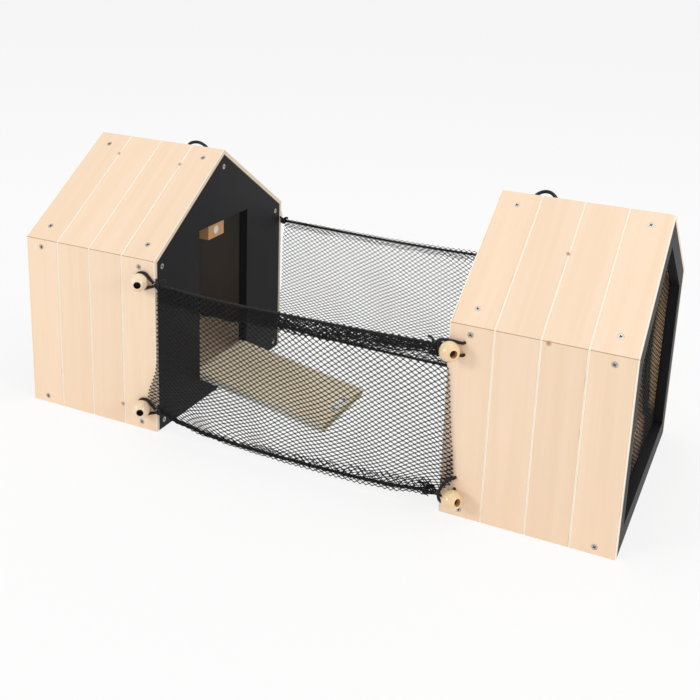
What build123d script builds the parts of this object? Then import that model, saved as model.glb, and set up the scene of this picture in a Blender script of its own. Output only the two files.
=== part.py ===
import math
import os

from build123d import *

# House shell, in millimetres
house_length = 140.0
house_depth = 226.0
eave_height = 161.0
ridge_height = 238.0
board_thick = 4.0
board_count = 4
groove_width = 2.0
groove_depth = 1.0
panel_thick = 9.0
run_gap = 268.0

# Carcass inside each house
post_size = 15.0
ridge_batten_width = 28.0
ridge_batten_rim = 6.5
bearer_width = 12.0
bearer_height = 12.0
floor_thick = 4.0
floor_clear = 0.4

# Countersunk screws
screw_head_radius = 2.75
screw_shank_radius = 1.25
screw_fit = 0.05
head_sink = 0.2
shank_clear = 0.15
wall_screw_length = 14.0
roof_screw_length = 11.0
wall_screw_foot = 6.0
wall_screw_drop = 7.5
roof_screw_eave = 16.5
roof_screw_ridge = 13.4
gable_screw_side = 8.0
gable_screw_foot = 7.0
gable_screw_peak = 11.5
screw_sides = 8
cut_over = 0.5

# Gable frames and their nets
frame_border = 17.0
net_lap = 5.0
net_rebate = 1.0
net_thick = 0.8
net_fit = 0.1

# Doorway, ramp and catch
doorway_width = 86.0
doorway_top = 170.0
sill_height = 22.5
ramp_thick = 7.0
ramp_length = 138.0
ramp_side_clear = 0.5
hinge_clear = 0.6
hinge_pin_radius = 1.5
hinge_pin_in_ramp = 12.0
hinge_pin_in_jamb = 20.0
hinge_running_fit = 0.05
hinge_press_fit = 0.02
plate_length = 30.0
plate_width = 8.0
plate_thick = 0.8
plate_tip_inset = 6.0
plate_screw_spacing = 23.0
plate_screw_radius = 1.8
plate_shank_radius = 0.95
plate_screw_length = 5.0
catch_gap = 0.2
stop_width = 27.0
stop_depth = 12.0
stop_below_magnet = 7.0
stop_above_doorway = 8.0
magnet_radius = 4.0
magnet_depth = 3.0
magnet_fit = 0.05

# Beads, elastic cord and knots
bead_radius = 8.0
bead_sides = 14
bead_rings = 7
bead_top_angle = 72.0
bead_hole_sides = 8
bead_flat = 0.4
bead_mouth_radius = 3.0
bead_mouth_depth = 6.0
bead_screw_head_radius = 2.6
bead_screw_head_height = 2.0
bead_screw_bite = 10.0
bead_edge = 2.5
cord_radius = 1.2
cord_clear = 0.3
cord_hole_fit = 0.15
cord_bury = 8.0
strand_spread = 1.35
knot_radius = 3.0
knot_length = 5.0
bead_over_net = 2.0
left_knot_reach = 0.6
loop_tie_gap = 0.9
loop_hole_edge = 3.5
loop_hole_pitch = 10.0
loop_holes_over_net = (1.2, 13.3)
loop_end_radius = 5.0
loop_end_reach = 2.2
loop_ends_over_net = (1.2, 2.0)
loop_standoff = 2.4
toggle_insets = (4.4, 14.0)
toggles_over_net = (1.2, 4.5)
toggle_cord_radius = 1.0
toggle_aim = 6.1
toggle_tail = 2.0
toggle_knot_reach = 8.8
carry_cord_radius = 1.5
carry_inset = 35.0
carry_spread = 20.0
carry_slope = 11.0
carry_lift = 1.2

# Run nets
net_drop = 20.5
net_left_foot = 21.0
net_right_foot = 15.0
run_net_thick = 1.0
net_edge_clear = 0.15
drawcord_gap = 0.35
net_sag_clear = 0.8
net_hem = 5.0
net_side_clear = 0.6
net_taper = 14.0
diamond_width = 26.0
diamond_height = 26.0
strand_width = 4.0
sag_points = ((-107.0, 15.2), (-83.0, 11.4), (-46.0, 9.2), (2.0, 8.8), (50.0, 9.4), (88.0, 11.0))
sag_radius_share = 0.45

# Values worked out from those above
half_depth = house_depth / 2
inner_half = half_depth - board_thick
roof_angle = math.atan2(ridge_height - eave_height, half_depth)
roof_sin = math.sin(roof_angle)
roof_cos = math.cos(roof_angle)
roof_slope = math.hypot(ridge_height - eave_height, half_depth)
board_width = house_length / board_count
screw_column = panel_thick + post_size / 2
gable_screw_length = panel_thick + post_size / 2 - 2 * screw_shank_radius
floor_top = bearer_height + floor_thick
ramp_half = ramp_thick / 2
hinge_x = -(run_gap / 2 + panel_thick - ramp_half - plate_thick - catch_gap)
hinge_z = sill_height + hinge_clear + ramp_half
ramp_reach = math.hypot(ramp_length, ramp_half)
ramp_angle = math.asin(hinge_z / ramp_reach) - math.atan2(ramp_half, ramp_length)
ramp_width = doorway_width - 2 * ramp_side_clear
magnet_z = hinge_z + ramp_length - plate_tip_inset
bead_inset = panel_thick + bead_edge
loop_hole_inset = panel_thick + loop_hole_edge
net_plane_y = -half_depth
net_top_height = eave_height - net_drop
left_knot_heights = (net_top_height, net_left_foot)
right_knot_heights = (net_top_height, net_right_foot)
left_bead_heights = [z + bead_over_net for z in left_knot_heights]
loop_hole_heights = [z + over for z, over in zip(right_knot_heights, loop_holes_over_net)]
loop_end_heights = [z + over for z, over in zip(right_knot_heights, loop_ends_over_net)]
toggle_heights = [z + over for z, over in zip(right_knot_heights, toggles_over_net)]
left_loop_y = -(half_depth + cord_radius + cord_clear)
right_loop_y = -(half_depth + loop_standoff)

left, right = -1, 1
sides = {left: "left", right: "right"}


def along(side, out):
    """X of a point that lies out millimetres beyond the run's end of a house."""
    return side * (run_gap / 2 + out)


def start_of(side, out_a, out_b):
    """Lower X of a stretch between two distances from the run."""
    return min(along(side, out_a), along(side, out_b))


def roof_z(y, inset=0.0):
    """Height of the plane that lies inset under the roof's outer face."""
    return ridge_height - abs(y) * math.tan(roof_angle) - inset / roof_cos


def house_outline(inset):
    """Pentagon (y, z) that lies inset inside the boards, and above the floor by as much."""
    y = inner_half - inset
    shoulder = roof_z(y, board_thick + inset)
    peak = roof_z(0, board_thick + inset)
    return [(-y, inset), (y, inset), (y, shoulder), (0, peak), (-y, shoulder)]


def behind(plane):
    """The same place on the back of the house."""
    o, x, z = plane.origin, plane.x_dir, plane.z_dir
    return Plane(origin=(o.X, -o.Y, o.Z), x_dir=(x.X, -x.Y, x.Z), z_dir=(z.X, -z.Y, z.Z))


def both_faces(planes):
    return list(planes) + [behind(plane) for plane in planes]


def wall_face(x, z):
    return Plane(origin=(x, -half_depth, z), x_dir=(1, 0, 0), z_dir=(0, -1, 0))


def roof_face(x, up):
    origin = (x, -half_depth + up * roof_cos, eave_height + up * roof_sin)
    return Plane(origin=origin, x_dir=(1, 0, 0), z_dir=(0, -roof_sin, roof_cos))


def screw_columns(side):
    return [along(side, screw_column), along(side, house_length - screw_column)]


def wall_screw_planes(side):
    heights = (wall_screw_foot, eave_height - wall_screw_drop)
    return [wall_face(x, z) for x in screw_columns(side) for z in heights]


def roof_screw_planes(side):
    places = (roof_screw_eave, roof_slope - roof_screw_ridge)
    return [roof_face(x, up) for x in screw_columns(side) for up in places]


def gable_screw_planes(side, out, facing):
    """Two screws at the foot, two at the eave and one under the ridge."""
    y = inner_half - gable_screw_side
    peak = roof_z(0, board_thick) - gable_screw_peak
    eave = eave_height - wall_screw_drop
    places = [(-y, gable_screw_foot), (y, gable_screw_foot), (-y, eave), (y, eave), (0, peak)]
    x = along(side, out)
    return [Plane(origin=(x, py, pz), x_dir=(0, 1, 0), z_dir=(facing, 0, 0)) for py, pz in places]


def bead_planes():
    return [wall_face(along(left, bead_inset), z) for z in left_bead_heights]


def loop_hole_planes():
    x = along(right, loop_hole_inset)
    half = loop_hole_pitch / 2
    return [wall_face(x, z + dz) for z in loop_hole_heights for dz in (half, -half)]


def carry_hole_planes(side):
    up = roof_slope - carry_slope
    outs = (carry_inset - carry_spread / 2, carry_inset + carry_spread / 2)
    return [behind(roof_face(along(side, out), up)) for out in outs]


def stump(wide, narrow, height, side_count):
    """Many-sided stump that stands on its wide end."""
    lean = math.atan((wide - narrow) * math.cos(math.pi / side_count) / height)
    with BuildPart() as form:
        with BuildSketch():
            RegularPolygon(wide, side_count)
        extrude(amount=height, taper=math.degrees(lean))
    return form.part


def turned(rings, side_count):
    """Many-sided solid through rings of (radius, height), lowest first."""
    with BuildPart() as form:
        for (low_radius, low), (high_radius, high) in zip(rings, rings[1:]):
            wide, narrow = max(low_radius, high_radius), min(low_radius, high_radius)
            upright, flipped = Location((0, 0, low)), Location((0, 0, high), (180, 0, 0))
            with Locations(flipped if high_radius > low_radius else upright):
                add(stump(wide, narrow, high - low, side_count))
    return form.part


def screw(head_radius, shank_radius, length, sink):
    """Countersunk screw, head up, its face sunk below the board's face."""
    head = head_radius - screw_fit
    neck = -(sink + head - shank_radius)
    return turned([(shank_radius, -length), (shank_radius, neck), (head, -sink)], screw_sides)


def screw_hole(head_radius, shank_radius, thick, sink):
    """What a countersunk screw takes out of a board: its hole, cone and sunk face."""
    hole, mouth = shank_radius + shank_clear, head_radius + sink
    rings = [(hole, -(thick + cut_over)), (hole, hole - mouth), (mouth + cut_over, cut_over)]
    return turned(rings, screw_sides)


def drill(piece, planes):
    with Locations(*planes):
        add(piece, mode=Mode.SUBTRACT)


def round_hole(radius, depth):
    return turned([(radius, -depth), (radius, cut_over)], bead_hole_sides)


def sink_screws(planes, thick):
    drill(screw_hole(screw_head_radius, screw_shank_radius, thick, head_sink), planes)


def boarded_panel(section, side, run_plane, run_length, screws, holes, hole_radius):
    """A plywood board with a V-groove between each pair of planks."""
    with BuildPart() as panel:
        with BuildSketch(Plane.YZ.offset(start_of(side, 0, house_length))):
            Polygon(*section, align=None)
        extrude(amount=house_length)
        with BuildSketch(run_plane):
            with Locations(*[(along(side, board_width * n), 0) for n in range(1, board_count)]):
                Polygon((-groove_width / 2, 0), (groove_width / 2, 0), (0, groove_depth), align=None)
        extrude(amount=run_length, mode=Mode.SUBTRACT)
        sink_screws(screws, board_thick)
        if holes:
            drill(round_hole(hole_radius, board_thick + cut_over), holes)
    return panel.part


def house_wall(side):
    top = roof_z(inner_half, board_thick)
    section = [(-half_depth, 0), (-inner_half, 0), (-inner_half, top), (-half_depth, eave_height)]
    run = Plane(origin=(0, -half_depth, 0), x_dir=(1, 0, 0), z_dir=(0, 0, 1))
    if side == left:
        holes, radius = bead_planes(), screw_shank_radius + shank_clear
    else:
        holes, radius = loop_hole_planes(), cord_radius + cord_hole_fit
    return boarded_panel(section, side, run, eave_height, wall_screw_planes(side), holes, radius)


def house_roof(side, holes):
    section = [
        (-half_depth, eave_height),
        (-inner_half, roof_z(inner_half, board_thick)),
        (0, roof_z(0, board_thick)),
        (0, ridge_height),
    ]
    foot = (0, -half_depth, eave_height)
    run = Plane(origin=foot, x_dir=(1, 0, 0), z_dir=(0, roof_cos, roof_sin))
    radius = carry_cord_radius + cord_hole_fit
    return boarded_panel(section, side, run, roof_slope, roof_screw_planes(side), holes, radius)


def to_the_back(part):
    with BuildPart() as back:
        mirror(part, about=Plane.XZ)
    return back.part


def corner_posts(side):
    """Four posts, their tops cut to the slope of the roof."""
    y = inner_half - post_size
    section = [
        (-inner_half, 0),
        (-y, 0),
        (-y, roof_z(y, board_thick)),
        (-inner_half, roof_z(inner_half, board_thick)),
    ]
    with BuildPart() as posts:
        for out in (panel_thick, house_length - panel_thick - post_size):
            with BuildSketch(Plane.YZ.offset(start_of(side, out, out + post_size))):
                Polygon(*section, align=None)
            extrude(amount=post_size)
        mirror(about=Plane.XZ)
        if side == right:
            hole = round_hole(cord_radius + cord_hole_fit, board_thick + cord_bury)
            drill(hole, both_faces(loop_hole_planes()))
    return posts.part


def ridge_batten(side):
    half = ridge_batten_width / 2
    rim = roof_z(half, board_thick)
    low = rim - ridge_batten_rim
    section = [(-half, low), (half, low), (half, rim), (0, roof_z(0, board_thick)), (-half, rim)]
    inside = house_length - 2 * panel_thick
    with BuildPart() as batten:
        with BuildSketch(Plane.YZ.offset(start_of(side, panel_thick, panel_thick + inside))):
            Polygon(*section, align=None)
        extrude(amount=inside)
        hole = round_hole(carry_cord_radius + cord_hole_fit, board_thick + cord_bury)
        drill(hole, carry_hole_planes(side))
    return batten.part


def floor_board(side):
    """The floor lies on its bearers and is notched round the posts."""
    length = house_length - 2 * (panel_thick + floor_clear)
    width = 2 * (inner_half - floor_clear)
    notch = post_size + floor_clear
    middle = along(side, house_length / 2)
    with BuildPart() as floor:
        with BuildSketch(Plane.XY.offset(bearer_height)):
            with Locations((middle, 0)):
                Rectangle(length, width)
                with GridLocations(length, width, 2, 2):
                    Rectangle(2 * notch, 2 * notch, mode=Mode.SUBTRACT)
        extrude(amount=floor_thick)
    return floor.part


def floor_bearers(side):
    length = house_length - 2 * (panel_thick + post_size)
    middle = along(side, house_length / 2)
    with BuildPart() as bearers:
        with Locations((middle, -inner_half + bearer_width / 2, 0)):
            low = (Align.CENTER, Align.CENTER, Align.MIN)
            Box(length, bearer_width, bearer_height, align=low)
        mirror(about=Plane.XZ)
    return bearers.part


def gable_board(side, out):
    """Black board that fills the end of the shell, from out to out + panel_thick."""
    with BuildPart() as board:
        with BuildSketch(Plane.YZ.offset(start_of(side, out, out + panel_thick))):
            Polygon(*house_outline(0), align=None)
        extrude(amount=panel_thick)
    return board.part


def gable_frame(side, out, facing, netted):
    face = out + panel_thick if facing == side else out
    inner = out if facing == side else out + panel_thick - net_rebate
    with BuildPart() as frame:
        add(gable_board(side, out))
        with BuildSketch(Plane.YZ.offset(start_of(side, out, out + panel_thick))):
            Polygon(*house_outline(frame_border), align=None)
        extrude(amount=panel_thick, mode=Mode.SUBTRACT)
        if netted:
            with BuildSketch(Plane.YZ.offset(start_of(side, inner, inner + net_rebate))):
                Polygon(*house_outline(frame_border - net_lap), align=None)
            extrude(amount=net_rebate, mode=Mode.SUBTRACT)
        sink_screws(gable_screw_planes(side, face, facing), panel_thick)
    return frame.part


def diamond_grid(width, height):
    """Centres of staggered diamonds over a field of that width and height."""
    step_x, step_z = diamond_width + strand_width, diamond_height + strand_width
    across, up = int(width / step_x), int(height / step_z)
    rows = [(across, up), (across - 1, up - 1)]
    return [
        ((i - (columns - 1) / 2) * step_x, (j - (lines - 1) / 2) * step_z)
        for columns, lines in rows
        for i in range(columns)
        for j in range(lines)
    ]


def cut_diamonds(centres):
    half_w, half_h = (diamond_width - strand_width) / 2, (diamond_height - strand_width) / 2
    with Locations(*centres):
        Polygon((-half_w, 0), (0, -half_h), (half_w, 0), (0, half_h), align=None, mode=Mode.SUBTRACT)


def window_net(side):
    """Net that lies in the rebate of the outer gable frame."""
    outline = house_outline(frame_border - net_lap + net_fit)
    clear = frame_border + strand_width / 2
    half_w, half_h = diamond_width / 2, diamond_height / 2
    low, high = clear, roof_z(0, board_thick + clear)
    field_half = inner_half - clear
    grid = [(y, z + (low + high) / 2) for y, z in diamond_grid(2 * field_half, high - low)]
    centres = [
        (y, z) for y, z in grid if z + half_h < roof_z(y, board_thick + clear)
        and z < roof_z(abs(y) + half_w, board_thick + clear)
    ]
    out = house_length - panel_thick + net_rebate - net_thick
    with BuildPart() as net:
        with BuildSketch(Plane.YZ.offset(start_of(side, out, out + net_thick))):
            Polygon(*outline, align=None)
            cut_diamonds(centres)
        extrude(amount=net_thick)
    return net.part


def door_panel():
    jamb_bore = hinge_pin_radius + hinge_press_fit
    outer = -run_gap / 2
    dip = (outer - hinge_x) * math.tan(ramp_angle)
    with BuildPart() as panel:
        add(gable_board(left, 0))
        with BuildSketch(Plane.YZ.offset(outer - panel_thick)):
            with Locations((0, (sill_height + doorway_top) / 2)):
                Rectangle(doorway_width, doorway_top - sill_height)
        extrude(amount=panel_thick, mode=Mode.SUBTRACT)
        with BuildSketch(Plane.XZ):
            Polygon((hinge_x, sill_height), (outer, sill_height - dip), (outer, sill_height), align=None)
        extrude(amount=doorway_width / 2, both=True, mode=Mode.SUBTRACT)
        with Locations(Plane(origin=(hinge_x, 0, hinge_z), z_dir=(0, 1, 0))):
            Cylinder(jamb_bore, 2 * inner_half, mode=Mode.SUBTRACT)
        sink_screws(gable_screw_planes(left, 0, right), panel_thick)
    return panel.part


def hinge_pins():
    inner = doorway_width / 2 - ramp_side_clear - hinge_pin_in_ramp
    length = hinge_pin_in_ramp + ramp_side_clear + hinge_pin_in_jamb
    with BuildPart() as pins:
        with Locations(Plane(origin=(hinge_x, inner, hinge_z), z_dir=(0, 1, 0))):
            Cylinder(hinge_pin_radius, length, align=(Align.CENTER, Align.CENTER, Align.MIN))
        mirror(about=Plane.XZ)
    return pins.part


# The ramp lies lowered: its own X runs down to the tip, its own Y is up out of the tread
ramp_side_plane = Plane(
    origin=(hinge_x, 0, hinge_z),
    x_dir=(math.cos(ramp_angle), 0, -math.sin(ramp_angle)),
    z_dir=(0, -1, 0),
)


def ramp_top(reach, across, lift=0.0):
    """A place on the tread, reach from the hinge, with Z out of the tread."""
    point = ramp_side_plane.from_local_coords((reach, ramp_half + lift, -across))
    return Plane(origin=point, x_dir=ramp_side_plane.x_dir, z_dir=ramp_side_plane.y_dir)


plate_place = ramp_length - plate_tip_inset
plate_screw_ys = (-plate_screw_spacing / 2, plate_screw_spacing / 2)


def ramp_board():
    with BuildPart() as ramp:
        with BuildSketch(ramp_side_plane):
            Circle(ramp_half)
            with Locations((ramp_length / 2, 0)):
                Rectangle(ramp_length, ramp_thick)
        extrude(amount=ramp_width / 2, both=True)
        depth = hinge_pin_in_ramp + hinge_running_fit
        for facing in (-1, 1):
            side_face = Plane(origin=(hinge_x, facing * ramp_width / 2, hinge_z), z_dir=(0, facing, 0))
            with Locations(side_face):
                Hole(radius=hinge_pin_radius + hinge_running_fit, depth=depth)
    return ramp.part


def catch_plate():
    with BuildPart() as plate:
        with BuildSketch(ramp_top(plate_place, 0)):
            RectangleRounded(plate_width, plate_length, plate_width / 4)
        extrude(amount=plate_thick)
        hole = screw_hole(plate_screw_radius, plate_shank_radius, plate_thick, 0)
        drill(hole, [ramp_top(plate_place, y, plate_thick) for y in plate_screw_ys])
    return plate.part


def placed(piece, planes):
    with BuildPart() as group:
        with Locations(*planes):
            add(piece)
    return group.part


def stop_block():
    inner = -run_gap / 2 - panel_thick
    low, high = magnet_z - stop_below_magnet, doorway_top + stop_above_doorway
    with BuildPart() as block:
        with BuildSketch(Plane.YZ.offset(inner - stop_depth)):
            with Locations((0, (low + high) / 2)):
                Rectangle(stop_width, high - low)
        extrude(amount=stop_depth)
        with Locations(Plane(origin=(inner, 0, magnet_z), z_dir=(1, 0, 0))):
            Hole(radius=magnet_radius + magnet_fit, depth=magnet_depth + magnet_fit)
    return block.part


def catch_magnet():
    inner = -run_gap / 2 - panel_thick
    with BuildPart() as magnet:
        with Locations(Plane(origin=(inner, 0, magnet_z), z_dir=(1, 0, 0))):
            Cylinder(magnet_radius, magnet_depth, align=(Align.CENTER, Align.CENTER, Align.MAX))
    return magnet.part


def ball(low_angle):
    """Turned ball about its middle, from low_angle below its equator up to its mouth."""
    span = bead_top_angle + low_angle
    angles = [math.radians(span * k / bead_rings - low_angle) for k in range(bead_rings + 1)]
    return turned([(bead_radius * math.cos(a), bead_radius * math.sin(a)) for a in angles], bead_sides)


def wall_bead():
    """Turned ball with a flat for the wall and a mouth that takes the screw's head."""
    low = math.degrees(math.asin(1 - bead_flat / bead_radius))
    crown = Plane.XY.offset(2 * bead_radius - bead_flat)
    with BuildPart() as bead:
        with Locations((0, 0, bead_radius - bead_flat)):
            add(ball(low))
        drill(round_hole(bead_mouth_radius, bead_mouth_depth), [crown])
        drill(round_hole(screw_shank_radius + shank_clear, 2 * bead_radius), [crown])
    return bead.part


def bead_screw():
    """Round-headed screw, from the bottom of the bead's mouth into the post."""
    seat = 2 * bead_radius - bead_flat - bead_mouth_depth
    tip = -(board_thick + bead_screw_bite)
    with BuildPart() as body:
        add(turned([(screw_shank_radius, tip), (screw_shank_radius, seat)], screw_sides))
        head = seat + bead_screw_head_height
        add(turned([(bead_screw_head_radius, seat), (bead_screw_head_radius, head)], screw_sides))
    return body.part


def toggle_bead():
    """Turned ball with a bore for the cord and a mouth that hides its knot."""
    crown = Plane.XY.offset(bead_radius)
    with BuildPart() as bead:
        add(ball(bead_top_angle))
        drill(round_hole(bead_mouth_radius, bead_mouth_depth), [crown])
        drill(round_hole(toggle_cord_radius + cord_hole_fit, 2 * bead_radius), [crown])
    return bead.part


def tangent_point(start, centre, radius, upper):
    """Where a straight strand from start meets a circle, in (x, z)."""
    dx, dz = centre[0] - start[0], centre[1] - start[1]
    distance = math.hypot(dx, dz)
    reach = math.sqrt(distance**2 - radius**2)
    turn = math.asin(radius / distance)
    ends = []
    for t in (turn, -turn):
        ex = (dx * math.cos(t) - dz * math.sin(t)) / distance
        ez = (dx * math.sin(t) + dz * math.cos(t)) / distance
        ends.append((start[0] + reach * ex, start[1] + reach * ez))
    return max(ends, key=lambda p: p[1]) if upper else min(ends, key=lambda p: p[1])


def loop_points(top, foot, centre, radius):
    """The two tangent points of a loop and the far point of its round end."""
    high = tangent_point(top, centre, radius, True)
    low = tangent_point(foot, centre, radius, False)
    middle = ((top[0] + foot[0]) / 2, (top[1] + foot[1]) / 2)
    away = math.hypot(centre[0] - middle[0], centre[1] - middle[1])
    far = tuple(centre[k] + radius * (centre[k] - middle[k]) / away for k in (0, 1))
    return high, far, low


def cord_along(line, radius):
    """Cord with four flats, two of them in the plane of its bends, swept along a route."""
    width = radius * math.sqrt(2)
    with BuildPart() as cord:
        with BuildLine():
            add(line)
        with BuildSketch(Plane(origin=line @ 0, z_dir=line % 0)):
            Rectangle(width, width)
        sweep()
    return cord.part


def left_net_loop(bead_z, knot_z):
    """Elastic loop from the net's knot round the neck of a wall bead."""
    y = left_loop_y
    depth = half_depth + bead_radius - bead_flat + y
    radius = math.sqrt((bead_radius + cord_radius + cord_clear) ** 2 - depth**2)
    x = along(left, loop_tie_gap - left_knot_reach)
    top, foot = (x, knot_z + strand_spread), (x, knot_z - strand_spread)
    high, far, low = loop_points(top, foot, (along(left, bead_inset), bead_z), radius)
    with BuildLine() as route:
        Line((x, y, top[1]), (high[0], y, high[1]))
        ThreePointArc((high[0], y, high[1]), (far[0], y, far[1]), (low[0], y, low[1]))
        Line((low[0], y, low[1]), (x, y, foot[1]))
    return cord_along(route.wires()[0], cord_radius)


def toggle_loop(hole_z, end_z):
    """Elastic loop out of one hole in the wall, round, and back into the other."""
    y = right_loop_y
    x = along(right, loop_hole_inset)
    inside = -(half_depth - board_thick - cord_bury)
    top, foot = (x, hole_z + loop_hole_pitch / 2), (x, hole_z - loop_hole_pitch / 2)
    centre = (along(right, -loop_end_reach), end_z)
    high, far, low = loop_points(top, foot, centre, loop_end_radius)
    with BuildLine() as route:
        FilletPolyline((x, inside, top[1]), (x, y, top[1]), (high[0], y, high[1]), radius=loop_standoff)
        ThreePointArc((high[0], y, high[1]), (far[0], y, far[1]), (low[0], y, low[1]))
        FilletPolyline((low[0], y, low[1]), (x, y, foot[1]), (x, inside, foot[1]), radius=loop_standoff)
    return cord_along(route.wires()[0], cord_radius)


def toggle_plane(inset, height, hole_z, knot_z):
    """Middle of a toggle bead, clear of its loop, with Z along the bore away from the net."""
    nearest = min(abs(hole_z + k * loop_hole_pitch / 2 - height) for k in (-1, 1))
    clear = bead_radius + cord_radius + cord_clear
    y = right_loop_y - math.sqrt(clear**2 - nearest**2)
    middle = Vector(along(right, inset), y, height)
    aim = Vector(along(right, -toggle_aim), net_plane_y, knot_z)
    return Plane(origin=middle, z_dir=middle - aim), (middle - aim).length + toggle_tail


def toggle_cord(plane, reach):
    """Cord from the net's knot through the bead, with its stopper knot in the bead's mouth."""
    seat = bead_radius - bead_mouth_depth
    knot, crown = bead_mouth_radius - 2 * cord_clear, seat + bead_mouth_depth / 2
    with BuildPart() as cord:
        with Locations(plane):
            add(turned([(toggle_cord_radius, -reach), (toggle_cord_radius, seat)], bead_hole_sides))
            add(turned([(knot, seat), (knot, crown)], bead_hole_sides))
    return cord.part


def knots(side, reach, heights):
    """Knots at a side's corners of the front net."""
    with BuildPart() as group:
        for z in heights:
            x = along(side, -reach)
            with Locations(Plane(origin=(x, net_plane_y, z), z_dir=(-side, 0, 0))):
                add(turned([(knot_radius, 0), (knot_radius, knot_length)], screw_sides))
    return group.part


def carry_loop(side):
    """Cord loop that stands out of the back roof, beside the ridge."""
    planes = carry_hole_planes(side)
    deep, lift = -(board_thick + cord_bury), carry_lift
    foot, top = [[p.from_local_coords((0, 0, h)) for p in planes] for h in (deep, lift)]
    crown = (top[0] + top[1]) * 0.5 + planes[0].z_dir * (carry_spread / 2)
    with BuildLine() as route:
        Line(foot[0], top[0])
        ThreePointArc(top[0], crown, top[1])
        Line(top[1], foot[1])
    return cord_along(route.wires()[0], carry_cord_radius)


net_start = along(left, -(left_knot_reach + knot_length))
net_end = along(right, -(toggle_knot_reach + knot_length))


def net_foot_route():
    """The sagging lower drawcord, as (x, z), with the radius of each bend."""
    first, last = net_start + drawcord_gap, net_end - drawcord_gap
    points = [(first, net_left_foot), *sag_points, (last, net_right_foot)]
    vectors = [Vector(x, net_plane_y, z) for x, z in points]
    radii = []
    for a, b, c in zip(vectors, vectors[1:], vectors[2:]):
        turn = math.radians((b - a).get_angle(c - b))
        shorter = min((b - a).length, (c - b).length)
        radii.append(sag_radius_share * shorter / math.tan(turn / 2))
    return points, vectors, radii


def net_cords():
    """Drawcords along the top and the foot of the front net."""
    points, vectors, radii = net_foot_route()
    with BuildLine() as upper:
        Line(*[Vector(x, net_plane_y, net_top_height) for x in (points[0][0], points[-1][0])])
    with BuildLine() as lower:
        FilletPolyline(*vectors, radius=radii)
    with BuildPart() as cords:
        add(cord_along(upper.wires()[0], cord_radius))
        add(cord_along(lower.wires()[0], cord_radius))
    return cords.part


def run_net():
    """The front net: one face with diamond gaps, down to the sagging drawcord."""
    points, _, _ = net_foot_route()
    top = net_top_height - cord_radius - net_edge_clear
    low = cord_radius + net_sag_clear
    first, last = net_start + net_edge_clear, net_end - net_edge_clear
    left_low, right_low = net_left_foot + low, net_right_foot + low
    foot = [(first, left_low), *[(x, z + low) for x, z in sag_points], (last, right_low)]
    house_end = run_gap / 2 - net_side_clear
    room = knot_radius - cord_radius + cord_clear
    right_edge = [
        (last, right_low + room), (house_end, right_low + net_taper),
        (house_end, top - net_taper), (last, top - room),
    ]
    left_edge = [
        (first, top - room), (-house_end, top - net_taper),
        (-house_end, left_low + net_taper), (first, left_low + room),
    ]
    middle_x, field_low = (first + last) / 2, max(net_left_foot, net_right_foot) + low
    height = top - field_low - 2 * net_hem
    grid = diamond_grid(last - first - 2 * net_hem, height)
    with BuildPart() as net:
        with BuildSketch(Plane.XZ.offset(-net_plane_y - run_net_thick / 2)):
            Polygon(*foot, *right_edge, (last, top), (first, top), *left_edge, align=None)
            cut_diamonds([(middle_x + x, (top + field_low) / 2 + z) for x, z in grid])
        extrude(amount=run_net_thick)
    return net.part


def doubled(front):
    """A front piece and its twin at the back, in one node."""
    with BuildPart() as pair:
        add(front)
        mirror(front, about=Plane.XZ)
    return pair.part


def joined(pieces):
    with BuildPart() as group:
        for piece in pieces:
            add(piece)
    return group.part


nodes = {}

board_screw = screw(screw_head_radius, screw_shank_radius, wall_screw_length, head_sink)
roof_screw = screw(screw_head_radius, screw_shank_radius, roof_screw_length, head_sink)
gable_screw = screw(screw_head_radius, screw_shank_radius, gable_screw_length, head_sink)
plate_screw = screw(plate_screw_radius, plate_shank_radius, plate_screw_length, 0)

# Shells and carcasses of the two houses
for side, word in sides.items():
    wall = house_wall(side)
    nodes[f"{word}_front_wall"] = wall
    nodes[f"{word}_back_wall"] = to_the_back(wall)
    nodes[f"{word}_front_roof"] = house_roof(side, [])
    nodes[f"{word}_back_roof"] = to_the_back(house_roof(side, [behind(p) for p in carry_hole_planes(side)]))
    nodes[f"{word}_corner_posts"] = corner_posts(side)
    nodes[f"{word}_ridge_batten"] = ridge_batten(side)
    nodes[f"{word}_floor"] = floor_board(side)
    nodes[f"{word}_floor_bearers"] = floor_bearers(side)
    nodes[f"{word}_window_frame"] = gable_frame(side, house_length - panel_thick, side, True)
    nodes[f"{word}_window_net"] = window_net(side)
    nodes[f"{word}_wall_screws"] = placed(board_screw, both_faces(wall_screw_planes(side)))
    nodes[f"{word}_roof_screws"] = placed(roof_screw, both_faces(roof_screw_planes(side)))
    gables = gable_screw_planes(side, 0, -side) + gable_screw_planes(side, house_length, side)
    nodes[f"{word}_gable_screws"] = placed(gable_screw, gables)
    nodes[f"{word}_carry_loop"] = carry_loop(side)

# Doorway and ramp
nodes["door_panel"] = door_panel()
nodes["hinge_pins"] = hinge_pins()
nodes["door_stop_block"] = stop_block()
nodes["catch_magnet"] = catch_magnet()
nodes["ramp_board"] = ramp_board()
nodes["catch_plate"] = catch_plate()
plate_screw_places = [ramp_top(plate_place, y, plate_thick) for y in plate_screw_ys]
nodes["catch_plate_screws"] = placed(plate_screw, plate_screw_places)

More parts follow.
